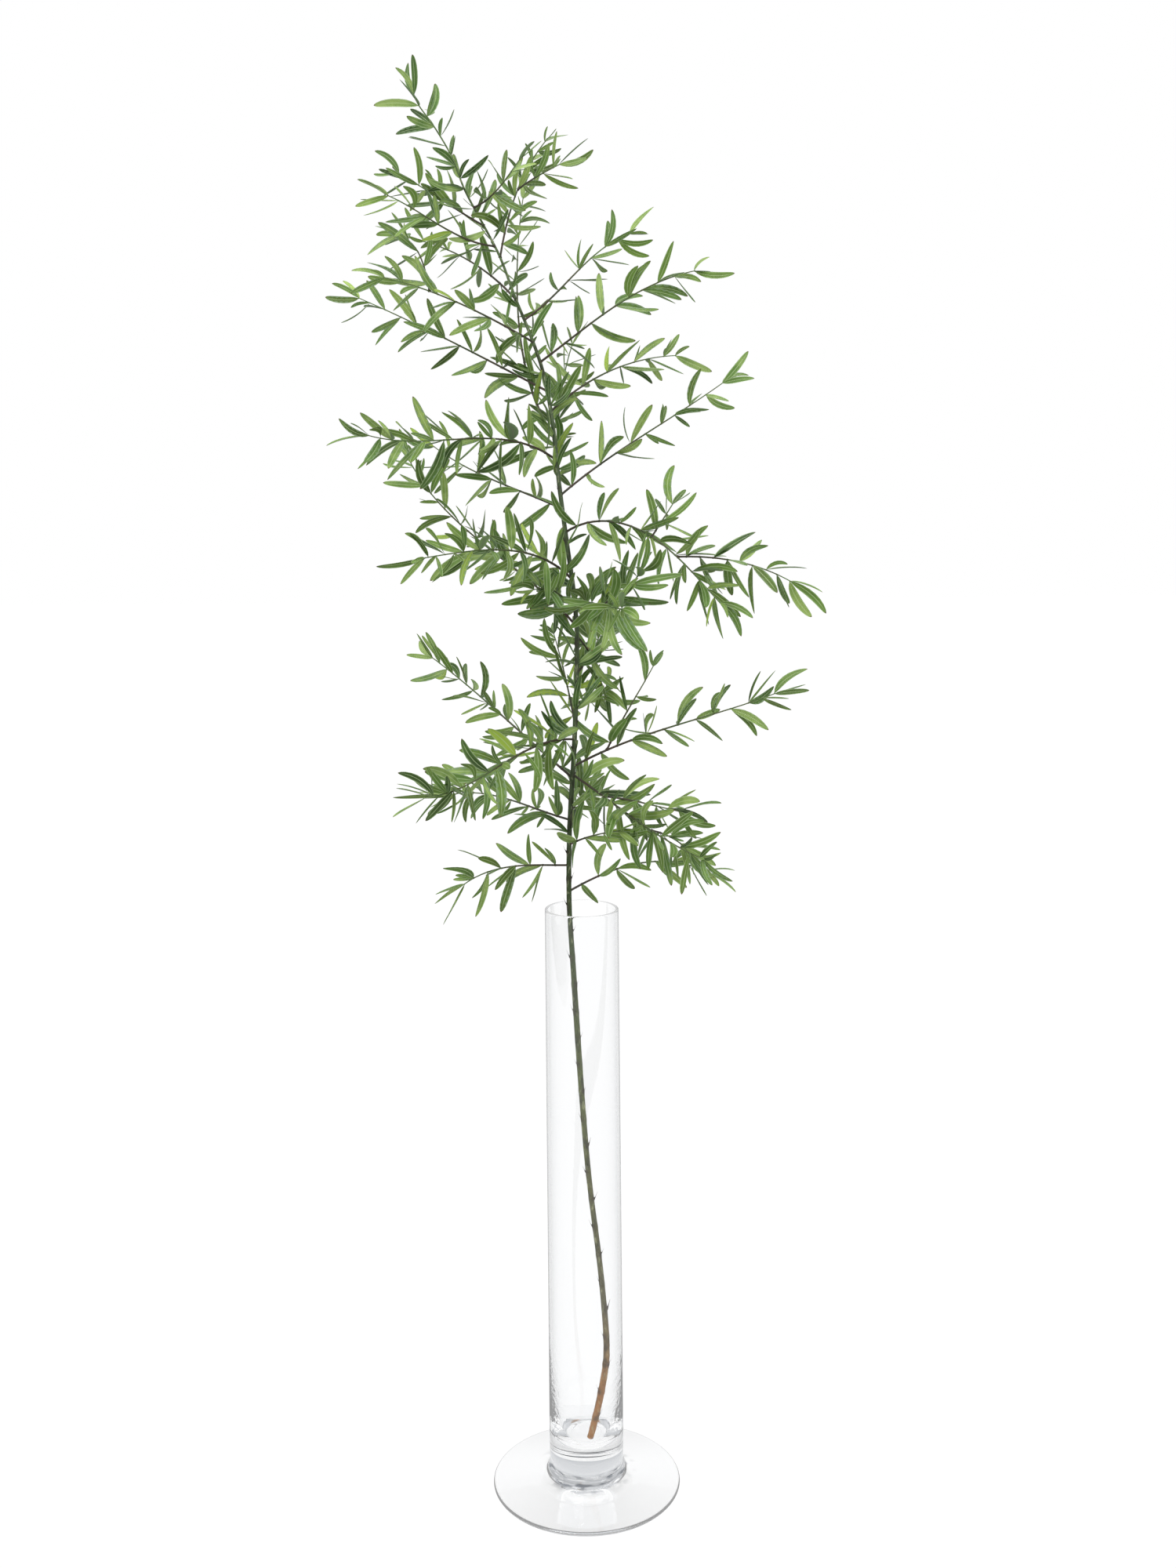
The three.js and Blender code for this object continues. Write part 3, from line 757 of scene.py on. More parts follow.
@dataclass(frozen=True)
class LeafSkin:
    """Waxy green leaf with a pale rib, light margins, fine veins along it and a paler underside."""

    deep: Colour = linear(34, 60, 26)
    mid: Colour = linear(80, 116, 50)
    light: Colour = linear(148, 172, 98)
    fresh: Colour = linear(176, 204, 76)
    rib: Colour = linear(184, 204, 152)
    margin: Colour = linear(176, 196, 148)
    under: Colour = linear(118, 142, 104)
    keel: Colour = linear(104, 98, 92)
    point: Colour = linear(96, 62, 44)
    glow: Colour = linear(120, 165, 50)
    mid_reach: Span = (0.0, 0.55)
    light_reach: Span = (0.5, 1.0)
    glow_tint: float = 0.55
    glow_share: float = 0.18
    roughness: float = 0.42
    roughness_change: float = 0.14
    shine: float = 0.32
    relief: Span = (0.25, 0.2 * MM)
    patch_scale: float = 55.0
    patch_share: float = 0.3
    grain_scale: float = 900.0
    strand_scale: Span = (9.0, 1.5)
    vein_scale: float = 2.2
    vein_reach: Span = (0.42, 0.62)
    vein_strength: float = 0.1
    vein_relief: float = 0.35
    grain_relief: float = 0.2
    rib_reach: Span = (0.04, 0.15)
    rib_end: float = 0.75
    rib_at_tip: float = 0.25
    rib_strength: float = 0.5
    margin_reach: Span = (0.66, 0.96)
    margin_strength: float = 0.62
    keel_reach: float = 0.3
    keel_strength: float = 0.7
    underside_strength: float = 0.75
    point_reach: Span = (0.955, 0.99)

    def green(self, shading: Shading, tone: Socket, patches: Socket) -> Socket:
        """The leaf's own green, from deep to light, or yellow-green where it is young."""
        own = shading.times(tone, 1 - self.patch_share)
        shade = shading.plus(own, shading.times(patches, self.patch_share))
        green = shading.mix(shading.ramp(shade, *self.mid_reach), self.deep, self.mid)
        green = shading.mix(shading.ramp(shade, *self.light_reach), green, self.light)
        return shading.mix(shading.attribute("fresh"), green, self.fresh)

    def material(self) -> bpy.types.Material:
        """Builds the leaf material.

        Returns:
            The material, which reads the blade's own UV map and the numbers stored on each leaf.
        """
        material, shading = new_material("leaf_skin")
        uv = shading.add("SeparateXYZ", {0: shading.add("UVMap", uv_map="blade").outputs[0]}).outputs
        across = shading.math("ABSOLUTE", shading.minus(shading.times(uv[0], 2.0), 1.0))
        along = uv[1]
        mottle = shading.mottle(self.patch_scale, self.grain_scale)
        tone = shading.attribute("tone")
        colour = self.green(shading, tone, mottle["Patches"])
        wide, long = self.strand_scale
        strands = {0: shading.times(across, wide), 1: shading.times(along, long), 2: tone}
        veins = shading.noise(shading.add("CombineXYZ", strands).outputs[0], self.vein_scale, detail=2.0)
        veins = shading.ramp(veins, *self.vein_reach)
        colour = shading.mix(shading.times(veins, self.vein_strength), colour, self.light)
        taper = shading.ramp(along, self.rib_end, 1.0, 1.0, self.rib_at_tip)
        rib = shading.times(shading.ramp(across, *self.rib_reach, 1.0, 0.0), taper)
        colour = shading.mix(shading.times(rib, self.rib_strength), colour, self.rib)
        margin = shading.times(shading.ramp(across, *self.margin_reach), self.margin_strength)
        colour = shading.mix(margin, colour, self.margin)
        keel = shading.ramp(across, 0.0, self.keel_reach, self.keel_strength, 0.0)
        below = shading.times(shading.attribute("underside"), self.underside_strength)
        colour = shading.mix(below, colour, shading.mix(keel, self.under, self.keel))
        colour = shading.mix(shading.ramp(along, *self.point_reach), colour, self.point)
        relief = shading.plus(shading.times(veins, self.vein_relief), rib)
        relief = shading.plus(relief, shading.times(mottle["Grain"], self.grain_relief))
        gloss = shading.plus(self.roughness, shading.times(mottle["Grain"], self.roughness_change))
        surface = shading.skin(colour, gloss, self.shine, relief, *self.relief)
        through = shading.add("BsdfTranslucent", {"Color": shading.mix(self.glow_tint, colour, self.glow)})
        shading.finish(surface, self.glow_share, through.outputs[0])
        return material


@dataclass(frozen=True)
class TwigSkin:
    """Thin green branch skin that turns purple-brown towards its root."""

    tip: Colour = linear(84, 110, 60)
    root: Colour = linear(54, 54, 42)
    root_reach: Span = (0.1, 0.95)
    blush: Colour = linear(80, 56, 48)
    blush_strength: float = 0.45
    patch_scale: float = 60.0
    grain_scale: float = 700.0
    relief: Span = (0.3, 0.2 * MM)
    roughness: float = 0.5
    shine: float = 0.3

    def material(self) -> bpy.types.Material:
        """Builds the branch material."""
        material, shading = new_material("twig_skin")
        mottle = shading.mottle(self.patch_scale, self.grain_scale)
        colour = shading.mix(shading.ramp(shading.attribute("along"), *self.root_reach), self.root, self.tip)
        colour = shading.mix(shading.times(mottle["Patches"], self.blush_strength), colour, self.blush)
        surface = shading.skin(colour, self.roughness, self.shine, mottle["Grain"], *self.relief)
        shading.finish(surface)
        return material


@dataclass(frozen=True)
class Bark:
    """Stem skin: orange-brown at the cut end, grey olive in the middle and dark green above."""

    stops: tuple[tuple[float, Colour], ...] = (
        (0.042, linear(152, 106, 60)), (0.085, linear(146, 102, 58)), (0.118, linear(126, 100, 62)),
        (0.150, linear(86, 82, 60)), (0.240, linear(82, 82, 48)), (0.330, linear(76, 84, 42)),
        (0.470, linear(44, 60, 18)), (0.560, linear(56, 72, 42)), (0.900, linear(66, 82, 54)),
        (1.216, linear(84, 108, 60)),
    )
    scar: Colour = linear(44, 34, 26)
    fleck: Colour = linear(168, 170, 134)
    shade: Colour = linear(34, 36, 20)
    wander: float = 30.0 * MM
    wander_scale: float = 45.0
    streak_scale: Triple = (900.0, 900.0, 28.0)
    streak_reach: Span = (0.35, 0.7)
    streak_strength: float = 0.35
    fleck_scale: Triple = (420.0, 420.0, 150.0)
    fleck_reach: Span = (0.56, 0.68)
    fleck_strength: float = 0.45
    fleck_relief: float = 0.6
    patch_scale: Triple = (170.0, 170.0, 70.0)
    patch_reach: Span = (0.5, 0.66)
    patch_strength: float = 0.7
    relief: Span = (0.5, 0.3 * MM)
    roughness: float = 0.5
    shine: float = 0.35

    def base(self, shading: Shading, place: Socket) -> Socket:
        """Colour by height, with an uneven border between one colour and the next."""
        height = shading.add("SeparateXYZ", {0: place}).outputs[2]
        uneven = shading.times(shading.minus(shading.noise(place, self.wander_scale), 0.5), self.wander)
        low, top = self.stops[0][0], self.stops[-1][0]
        share = shading.add("MapRange", {0: shading.plus(height, uneven), 1: low, 2: top}).outputs[0]
        ramp = shading.add("ValToRGB", {0: share})
        stops = ramp.color_ramp.elements
        while len(stops) < len(self.stops):
            stops.new(0.5)
        for stop, (reach, colour) in zip(stops, self.stops):
            stop.position = (reach - low) / (top - low)
            stop.color = colour
        return ramp.outputs[0]

    def material(self) -> bpy.types.Material:
        """Builds the bark material, which changes colour with height."""
        material, shading = new_material("stem_bark")
        place = shading.place()
        streaks = shading.ramp(shading.grain(place, self.streak_scale, detail=4.0), *self.streak_reach)
        colour = self.base(shading, place)
        colour = shading.mix(shading.times(streaks, self.streak_strength), colour, self.fleck, "SOFT_LIGHT")
        flecks = shading.ramp(shading.grain(place, self.fleck_scale), *self.fleck_reach)
        colour = shading.mix(shading.times(flecks, self.fleck_strength), colour, self.fleck)
        patches = shading.ramp(shading.grain(place, self.patch_scale), *self.patch_reach)
        colour = shading.mix(shading.times(patches, self.patch_strength), colour, self.shade)
        colour = shading.mix(shading.attribute("scar"), colour, self.scar)
        relief = shading.plus(streaks, shading.times(flecks, self.fleck_relief))
        surface = shading.skin(colour, self.roughness, self.shine, relief, *self.relief)
        shading.finish(surface)
        return material


class GlassInputs:
    """What the glass reads: its place, its height, how it faces the eye, and the kind of ray."""

    def __init__(self, shading: Shading) -> None:
        """Adds the nodes that give them.

        Args:
            shading: the material's nodes.
        """
        self.shading = shading
        self.place = shading.place()
        self.height = shading.add("SeparateXYZ", {0: self.place}).outputs[2]
        self.facing = shading.add("LayerWeight", {"Blend": 0.5}).outputs["Facing"]
        self.rays = shading.add("LightPath").outputs


@dataclass(frozen=True)
class ClearGlass:
    """Hand-drawn clear glass, with faint ripples, seeds in the lower wall and tool marks at the collar.

    A render stops a ray after a few reflections and would paint it black, so rays that are caught inside the
    glass get a little light of their own, which differs for the foot, its rim and the tube.
    """

    tint: Colour = (0.994, 0.997, 1.0, 1.0)
    shadow: Colour = (0.93, 0.935, 0.94, 1.0)
    index: float = 1.5
    # Painted shade: grey mixed into the glass's colour towards its outline, seen from any side.
    edge: Colour = (0.54, 0.555, 0.57, 1.0)
    painted_edge_shade_falloff: float = 3.0
    painted_edge_shade_start: Span = (0.024, 0.034)
    seed_rise: Span = (0.042, 0.060)
    seed_fall: Span = (0.060, 0.17)
    seed_scale: float = 220.0
    seed_facing: Span = (0.25, 0.6)
    seed_faint: float = 0.06
    seed_strength: float = 1.5
    wave_scale: Triple = (14.0, 14.0, 5.0)
    wave_strength: float = 0.25
    relief: Span = (0.4, 1.2 * MM)
    # Painted shade: thin dark rings at the collar, with the height and half width of each.
    ring: Colour = (0.004, 0.005, 0.007, 1.0)
    rings: Pairs = ((0.0188, 0.0017), (0.0150, 0.0012))
    painted_ring_shade_core: float = 0.4
    painted_ring_shade_faint: float = 0.3
    painted_ring_shade_wander_scale: float = 40.0
    painted_ring_shade_wander: float = 1.6 * MM
    # Heights of the collar band that holds the tool marks and the painted reflections.
    marks_and_reflection_bottom: Span = (0.0095, 0.0125)
    marks_and_reflection_top: Span = (0.019, 0.023)
    marks_scale: Triple = (50.0, 50.0, 500.0)
    marks_strength: float = 1.6
    # Painted reflections: dark grey-blue streaks in the collar band.
    painted_reflection_tint: Colour = (0.16, 0.175, 0.2, 1.0)
    painted_reflection_scale: Triple = (70.0, 70.0, 300.0)
    painted_reflection_reach: Span = (0.52, 0.66)
    trapped_light: float = 0.17
    trapped_above: float = 0.36
    trapped_rim: float = 0.06
    trapped_depth: float = 3.5
    above: Span = (0.12, 0.30)
    rim: Span = (0.076, 0.080)

    def painted_ring_shade_mask(self, inputs: GlassInputs) -> Socket:
        """Mask of the painted shade in thin dark rings at the collar, which show best straight through the
        glass.
        """
        shading = inputs.shading
        inner = shading.add("NewGeometry").outputs["Backfacing"]
        straight = shading.times(inner, shading.math("LESS_THAN", inputs.rays["Glossy Depth"], 0.5))
        strength = shading.plus(shading.times(straight, 1.0 - self.painted_ring_shade_faint), self.painted_ring_shade_faint)
        wander = shading.minus(shading.noise(inputs.place, self.painted_ring_shade_wander_scale, detail=1.0), 0.5)
        wavy = shading.plus(inputs.height, shading.times(wander, self.painted_ring_shade_wander))
        total = 0.0
        for middle, half in self.rings:
            off = shading.math("ABSOLUTE", shading.minus(wavy, middle))
            line = shading.ramp(off, half * self.painted_ring_shade_core, half, 1.0, 0.0)
            total = shading.math("MAXIMUM", total, line)
        return shading.times(total, strength)

    def normal(self, inputs: GlassInputs, marks_and_reflection_band: Socket) -> Socket:
        """Normal of the glass: seeds in the lower wall, long waves, and tool marks at the collar.

        Args:
            inputs: what the glass reads.
            marks_and_reflection_band: mask of the tool marks.

        Returns:
            The normal.
        """
        shading = inputs.shading
        lower = shading.band(inputs.height, self.seed_rise, self.seed_fall)
        lower = shading.times(lower, shading.ramp(inputs.facing, *self.seed_facing, self.seed_faint, 1.0))
        seeds = shading.times(shading.noise(inputs.place, self.seed_scale, detail=1.5), lower)
        waves = shading.grain(inputs.place, self.wave_scale, detail=1.0)
        marks = shading.times(shading.grain(inputs.place, self.marks_scale, detail=1.0), marks_and_reflection_band)
        height = shading.times(seeds, self.seed_strength)
        height = shading.plus(height, shading.times(waves, self.wave_strength))
        height = shading.plus(height, shading.times(marks, self.marks_strength))
        return shading.bump(height, *self.relief)

    def trapped(self, inputs: GlassInputs) -> Socket:
        """Colour of the light of rays that are caught inside the glass, and black for all others."""
        shading = inputs.shading
        radius = shading.length(shading.stretched(inputs.place, (1.0, 1.0, 0.0)))
        caught = shading.math("GREATER_THAN", inputs.rays["Glossy Depth"], self.trapped_depth)
        level = shading.ramp(inputs.height, *self.above, self.trapped_light, self.trapped_above)
        loss = shading.ramp(radius, *self.rim, 0.0, self.trapped_light - self.trapped_rim)
        return shading.mix(shading.times(caught, shading.minus(level, loss)), BLACK, WHITE)

    def material(self) -> bpy.types.Material:
        """Builds the glass material, whose shadow is nearly clear."""
        material, shading = new_material("clear_glass")
        inputs = GlassInputs(shading)
        marks_and_reflection_band = shading.band(inputs.height, self.marks_and_reflection_bottom, self.marks_and_reflection_top)
        # Painted shade: the glass turns grey towards its outline, above the foot.
        grazing = shading.math("POWER", inputs.facing, self.painted_edge_shade_falloff)
        side = shading.times(grazing, shading.ramp(inputs.height, *self.painted_edge_shade_start))
        colour = shading.mix(side, self.tint, self.edge)
        # Painted reflections: dark grey-blue streaks in the collar band.
        painted_reflection_mask = shading.ramp(shading.grain(inputs.place, self.painted_reflection_scale, detail=1.0), *self.painted_reflection_reach)
        colour = shading.mix(shading.times(painted_reflection_mask, marks_and_reflection_band), colour, self.painted_reflection_tint)
        # Painted shade of the thin dark rings at the collar.
        colour = shading.mix(self.painted_ring_shade_mask(inputs), colour, self.ring)
        glass = shading.add("BsdfPrincipled", {
            "Base Color": colour,
            "Roughness": 0.0,
            "IOR": self.index,
            "Transmission Weight": 1.0,
            "Normal": self.normal(inputs, marks_and_reflection_band),
            "Emission Color": self.trapped(inputs),
            "Emission Strength": 1.0,
        })
        clear = shading.add("BsdfTransparent", {"Color": self.shadow})
        shading.finish(glass.outputs[0], inputs.rays["Is Shadow Ray"], clear.outputs[0])
        return material


@dataclass
class LeafBlade:
    """The one modelled leaf, which every leaf is a bent copy of.

    It is a straight blade of length 1 along +Y and half width 1 along X, with its face up: a section of five
    points over a keel, drawn out in stations to a blunt tip with a short point.
    """

    stations: Pairs = (
        (0.035, 0.15), (0.09, 0.45), (0.17, 0.72), (0.29, 0.93), (0.44, 1.0), (0.59, 0.99), (0.73, 0.9),
        (0.85, 0.73), (0.935, 0.49), (0.975, 0.26),
    )
    stalk_share: float = 0.1
    tip_share: float = 0.004
    fold: float = 0.2
    shoulder: float = 0.05
    keel: float = 0.13
    untwisted: float = 0.35
    template: Piece = field(init=False)
    rows: np.ndarray = field(init=False)

    def __post_init__(self) -> None:
        """Models the blade at once, because every frond copies it."""
        self.template = self.model()
        self.rows = coordinates(self.template.data)

    def half_width(self, along: float) -> float:
        """Half width of the outline at a share of the length."""
        pairs = ((0.0, self.stalk_share), *self.stations, (1.0, 0.0))
        return along_pairs(pairs, along)

    def model(self) -> Piece:
        """Draws a six-sided ring out along the blade, station by station.

        Returns:
            The template object, which goes once all leaves are copied from it.
        """
        section = [(1.0, self.fold), (0.5, self.shoulder), (0.0, 0.0), (-0.5, self.shoulder),
                   (-1.0, self.fold), (0.0, -self.keel)]
        obj = filled_ring("leaf_blade", len(section), 1.0, turn=(math.pi / 2, 0.0, 0.0))
        for vertex, (side, height) in zip(obj.data.vertices, section):
            vertex.co = (side * self.stalk_share, 0.0, height * self.stalk_share)
        outline = ((0.0, self.stalk_share), *self.stations, (1.0, self.tip_share))
        rings = [((0.0, along, 0.0), half) for along, half in outline]
        draw_out(rings, (True, False, True), smooth_angle=60.0, pointed=True)
        self.map_blade(obj.data)
        return obj

    def map_blade(self, mesh: Mesh) -> None:
        """Stores the place across and along the blade as a UV map, and which faces are underneath."""
        rows = coordinates(mesh)
        layer = mesh.uv_layers.new(name="blade")
        for loop in mesh.loops:
            side, along = rows[loop.vertex_index][:2]
            half = max(self.half_width(along), TINY)
            layer.data[loop.index].uv = (0.5 + 0.5 * max(-1.0, min(1.0, side / half)), along)
        below = [1.0 if polygon.normal.z < 0 else 0.0 for polygon in mesh.polygons]
        set_attribute(mesh, "underside", np.array(below), "FACE")

    def bent(self, leaf: Leaf, form: LeafForm, twist: float, stoutness: float, size: float) -> np.ndarray:
        """Vertex positions of the blade laid along a leaf's curve.

        Args:
            leaf: the leaf to follow.
            form: its sideways bow.
            twist: turn of the face from root to tip, in radians.
            stoutness: width against the usual width.
            size: length against the leaf's own length.

        Returns:
            Rows of positions in metres.
        """
        share = self.rows[:, 1:2]
        root, middle, tip = (np.array(point) for point in (leaf.root, leaf.middle, leaf.tip))
        middle = root + (middle - root) * size
        tip = root + (tip - root) * size
        centre = root * (1 - share) ** 2 + middle * 2 * share * (1 - share) + tip * share ** 2
        tangent = (middle - root) * (1 - share) + (tip - middle) * share
        tangent /= np.linalg.norm(tangent, axis=1, keepdims=True)
        right = np.cross(np.array(leaf.face), tangent)
        right /= np.linalg.norm(right, axis=1, keepdims=True)
        normal = np.cross(tangent, right)
        turn = twist * (share - self.untwisted)
        across = right * np.cos(turn) + normal * np.sin(turn)
        above = normal * np.cos(turn) - right * np.sin(turn)
        half = leaf.width / 2 * stoutness * size
        bow = form.value * leaf.length * size * 4 * share * (1 - share)
        return centre + across * (self.rows[:, 0:1] * half + bow) + above * self.rows[:, 2:3] * half


@dataclass
class Foliage:
    """Places bent copies of the blade, each with its own mesh, and keeps them inside the part's box."""

    blade: LeafBlade
    skin: bpy.types.Material
    low: np.ndarray
    high: np.ndarray
    shrink: float = 0.93
    least: float = 0.55
    stoutness: Span = (0.9, 1.16)
    twist: Span = (-0.8, 0.8)
    count: int = 0

    def leaves(self, leaves: Sequence[Leaf], draws: Draws, fresh: Callable[[int], float]) -> list[Piece]:
        """Makes one object for each leaf.

        Args:
            leaves: the leaves to make.
            draws: stream for what the solids don't have, such as bow, twist and tone.
            fresh: how young each numbered leaf looks, from 0 to 1.

        Returns:
            The leaf objects.
        """
        forms = list(LeafForm)
        made = []
        for index, leaf in enumerate(leaves):
            form = forms[int(draws.draw() * len(forms))]
            twist = draws.within(*self.twist)
            stoutness = draws.within(*self.stoutness)
            tone = draws.draw()
            size = 1.0
            rows = self.blade.bent(leaf, form, twist, stoutness, size)
            while size > self.least and not self.inside(rows):
                size *= self.shrink
                rows = self.blade.bent(leaf, form, twist, stoutness, size)
            if not self.inside(rows):
                continue
            mesh = self.blade.template.data.copy()
            set_coordinates(mesh, rows)
            for name, value in (("tone", tone), ("fresh", fresh(index)), ("along", 1.0), ("scar", 0.0)):
                set_attribute(mesh, name, value)
            mesh.materials.append(self.skin)
            made.append(placed("leaf", mesh))
        self.count += len(made)
        return made

    def inside(self, rows: np.ndarray) -> bool:
        """Whether all positions lie in the box of the solids."""
        return bool((rows >= self.low).all() and (rows <= self.high).all())


@dataclass
class Branch:
    """A thin round branch with a small swelling at each leaf node and a collar at its root."""

    skin: bpy.types.Material
    root_radius: float = 0.8 * MM
    length_gain: float = 0.0018
    tip_radius: float = 0.48 * MM
    step: float = 6.0 * MM
    least_step: float = 0.2 * MM
    swelling: float = 0.3
    swelling_reach: float = 1.2 * MM
    collar: float = 0.9
    collar_reach: float = 3.0 * MM
    collar_stops: Triple = (0.33, 0.66, 1.0)
    least_steps: int = 4
    roundness: int = 1

    def radius(self, distance: float, length: float, nodes: Sequence[float]) -> float:
        """Radius at a distance from the root.

        Args:
            distance: metres along the branch.
            length: length of the branch.
            nodes: distances of its leaf nodes.

        Returns:
            The radius in metres.
        """
        plain = mixed(self.root_radius + length * self.length_gain, self.tip_radius, distance / length)
        bump = max((1 - abs(distance - node) / self.swelling_reach for node in nodes), default=0.0)
        collar = max(0.0, 1 - distance / self.collar_reach)
        return plain * (1 + self.swelling * max(bump, 0.0) + self.collar * collar ** 2)

    def model(self, name: str, path: Path, nodes: Sequence[float]) -> Piece:
        """Makes the branch along a path.

        Args:
            name: the object's name.
            path: its axis.
            nodes: distances of its leaf nodes.

        Returns:
            The branch as a mesh object.
        """
        steps = max(self.least_steps, round(path.length / self.step))
        stops = set(np.linspace(0.0, path.length, steps + 1))
        stops |= {self.collar_reach * share for share in self.collar_stops}
        for node in nodes:
            stops |= {node - self.swelling_reach, node, node + self.swelling_reach}
        stops = sorted(stop for stop in stops if 0.0 <= stop <= path.length)
        stops = [stop for before, stop in zip([-1.0, *stops], stops) if stop - before > self.least_step]
        points = [path.place(stop)[0] for stop in stops]
        radii = [self.radius(stop, path.length, nodes) for stop in stops]
        obj = tube(name, points, radii, self.roundness)
        set_attribute(obj.data, "along", nearest_share(obj.data, path))
        obj.data.materials.append(self.skin)
        return obj


@dataclass
class Spur:
    """A dry bud scale on the stem with a fine bristle, modelled once on +X and copied."""

    skin: bpy.types.Material
    length: float = 7.0 * MM
    width: float = 1.5 * MM
    sides: int = 5
    darkness: float = 0.85
    profile: tuple[Triple, ...] = (
        (0.0, 0.0, 1.0), (0.16, 0.14, 0.8), (0.26, 0.3, 0.42), (0.36, 0.52, 0.2), (0.46, 0.76, 0.13),
        (0.58, 1.0, 0.06),
    )
    template: Piece = field(init=False)

    def __post_init__(self) -> None:
        """Models the spur."""
        self.template = self.model()

    def model(self) -> Piece:
        """Draws a ring out and up along the profile, narrowing to a bristle.

        Returns:
            The template, with its root at the origin.
        """
        obj = filled_ring("bud_spur", self.sides, self.width, turn=(0.0, math.pi / 2, 0.0))
        rings = [((out * self.length, 0.0, up * self.length), girth) for out, up, girth in self.profile]
        draw_out(rings, (True, True, True), smooth_angle=60.0)
        set_attribute(obj.data, "scar", self.darkness)
        obj.data.materials.append(self.skin)
        return obj

    def copy_to(self, point: Vector, heading: float, size: float) -> Piece:
        """A copy with its own mesh.

        Args:
            point: where its root goes.
            heading: compass angle that it points to, in degrees.
            size: its size against the template.

        Returns:
            The copy.
        """
        mesh = self.template.data.copy()
        turn = Matrix.Translation(point) @ Matrix.Rotation(math.radians(heading), 4, "Z")
        mesh.transform(turn @ Matrix.Scale(size, 4))
        return placed("spur", mesh)


@dataclass(frozen=True)
class Stretch:
    """A leafy stretch of the main axis: its heights, its leaf length and node spacing, and any tuft."""

    bottom: float
    top: float
    leaf: float
    spacing: float
    tuft: bool = False


@dataclass
class MainStem:
    """The main axis from the cut end to the tip of the left leader, with its own leaves and bud scales."""

    bark: bpy.types.Material
    foliage: Foliage
    node: str = "main_stem"
    corners: tuple[Triple, ...] = (
        (0.0035, -0.0098, 0.0395), (0.014, -0.009, 0.086), (0.018, -0.008, 0.122), (0.0135, -0.002, 0.185),
        (0.004, 0.005, 0.265), (-0.0025, 0.0125, 0.350), (-0.008, 0.020, 0.442), (-0.011, 0.0243, 0.498),
        (-0.010, 0.027, 0.565), (-0.0055, 0.0295, 0.632), (-0.002, 0.032, 0.715), (-0.0035, 0.034, 0.764),
        (-0.0105, 0.035, 0.820), (-0.0165, 0.0365, 0.869), (-0.022, 0.038, 0.925), (-0.0295, 0.039, 0.968),
        (-0.0405, 0.040, 1.002), (-0.054, 0.041, 1.036), (-0.067, 0.0415, 1.072), (-0.080, 0.0395, 1.098),
        (-0.098, 0.036, 1.132), (-0.109, 0.033, 1.161), (-0.124, 0.030, 1.187), (-0.137, 0.028, 1.205),
        (-0.142, 0.0265, 1.216),
    )
    taper: Pairs = (
        (0.042, 3.0 * MM), (0.085, 2.95 * MM), (0.120, 2.7 * MM), (0.160, 2.45 * MM), (0.250, 2.35 * MM),
        (0.320, 2.5 * MM), (0.390, 2.65 * MM), (0.440, 2.5 * MM), (0.490, 2.25 * MM), (0.905, 1.95 * MM),
        (1.072, 1.1 * MM), (1.216, 0.55 * MM),
    )
    leafy: tuple[Stretch, ...] = (
        Stretch(0.560, 0.780, 0.036, 0.022), Stretch(0.780, 1.060, 0.036, 0.032),
        Stretch(1.078, 1.216, 0.037, 0.010, tuft=True),
    )
    seed: int = 183
    bend_points: int = 4
    step: float = 4.0 * MM
    roundness: int = 4
    joint_bottom: float = 0.060
    joint_top: float = 0.900
    joint_step: float = 0.023
    joint_swelling: float = 0.13
    joint_reach: float = 3.5 * MM
    scar_rise: float = 0.6 * MM
    scar_reach: float = 2.6 * MM
    scar_width: float = 2.4 * MM
    scar_back: float = 0.3
    scar_depth: Span = (0.2, 0.75)
    bud_depth: float = 0.6
    bud_heading: Span = (-40.0, 40.0)
    bud_size: Span = (0.55, 1.05)
    path: Path = field(init=False)

    def __post_init__(self) -> None:
        """Draws the axis as a smooth curve through its corners."""
        corners = [Vector(corner) for corner in self.corners]
        ends = [corners[0] * 2 - corners[1], *corners, corners[-1] * 2 - corners[-2]]
        points = []
        for before, start, end, after in zip(ends, ends[1:], ends[2:], ends[3:]):
            for index in range(self.bend_points):
                share = index / self.bend_points
                points.append((start * 2 + (end - before) * share
                               + (before * 2 - start * 5 + end * 4 - after) * share ** 2
                               + (start * 3 - before - end * 3 + after) * share ** 3) * 0.5)
        self.path = Path([*points, corners[-1]])

    def joints(self) -> Iterator[tuple[float, int]]:
        """Heights of the joints of the stem, with the side, +1 or -1, of each one's bud."""
        height = self.joint_bottom
        side = 1
        while height < self.joint_top:
            yield height, side
            height += self.joint_step
            side = -side

    def radius(self, height: float) -> float:
        """Radius at a height, a little thicker at each joint."""
        plain = along_pairs(self.taper, height)
        nearest = min(abs(height - joint) for joint, _ in self.joints())
        return plain * (1 + self.joint_swelling * max(0.0, 1 - nearest / self.joint_reach) ** 2)

    def skin_tube(self) -> Piece:
        """The stem itself, with scars stored round its joints."""
        count = round(self.path.length / self.step)
        stops = np.linspace(0.0, self.path.length, count + 1)
        points = [self.path.place(stop)[0] for stop in stops]
        radii = [self.radius(point.z) for point in points]
        obj = tube("stem_tube", points, radii, self.roundness)
        rows = coordinates(obj.data)
        scars = np.zeros(len(rows))
        plain, bud_side = self.scar_depth
        for height, side in self.joints():
            offset = rows - np.array(self.path.at_height(height))
            near = np.exp(-((offset[:, 2] - self.scar_rise) / self.scar_reach) ** 2)
            facing = np.clip(self.scar_back + offset[:, 0] * side / self.scar_width, 0.0, 1.0)
            scars = np.maximum(scars, near * (plain + bud_side * facing))
        set_attribute(obj.data, "scar", scars)
        obj.data.materials.append(self.bark)
        return obj

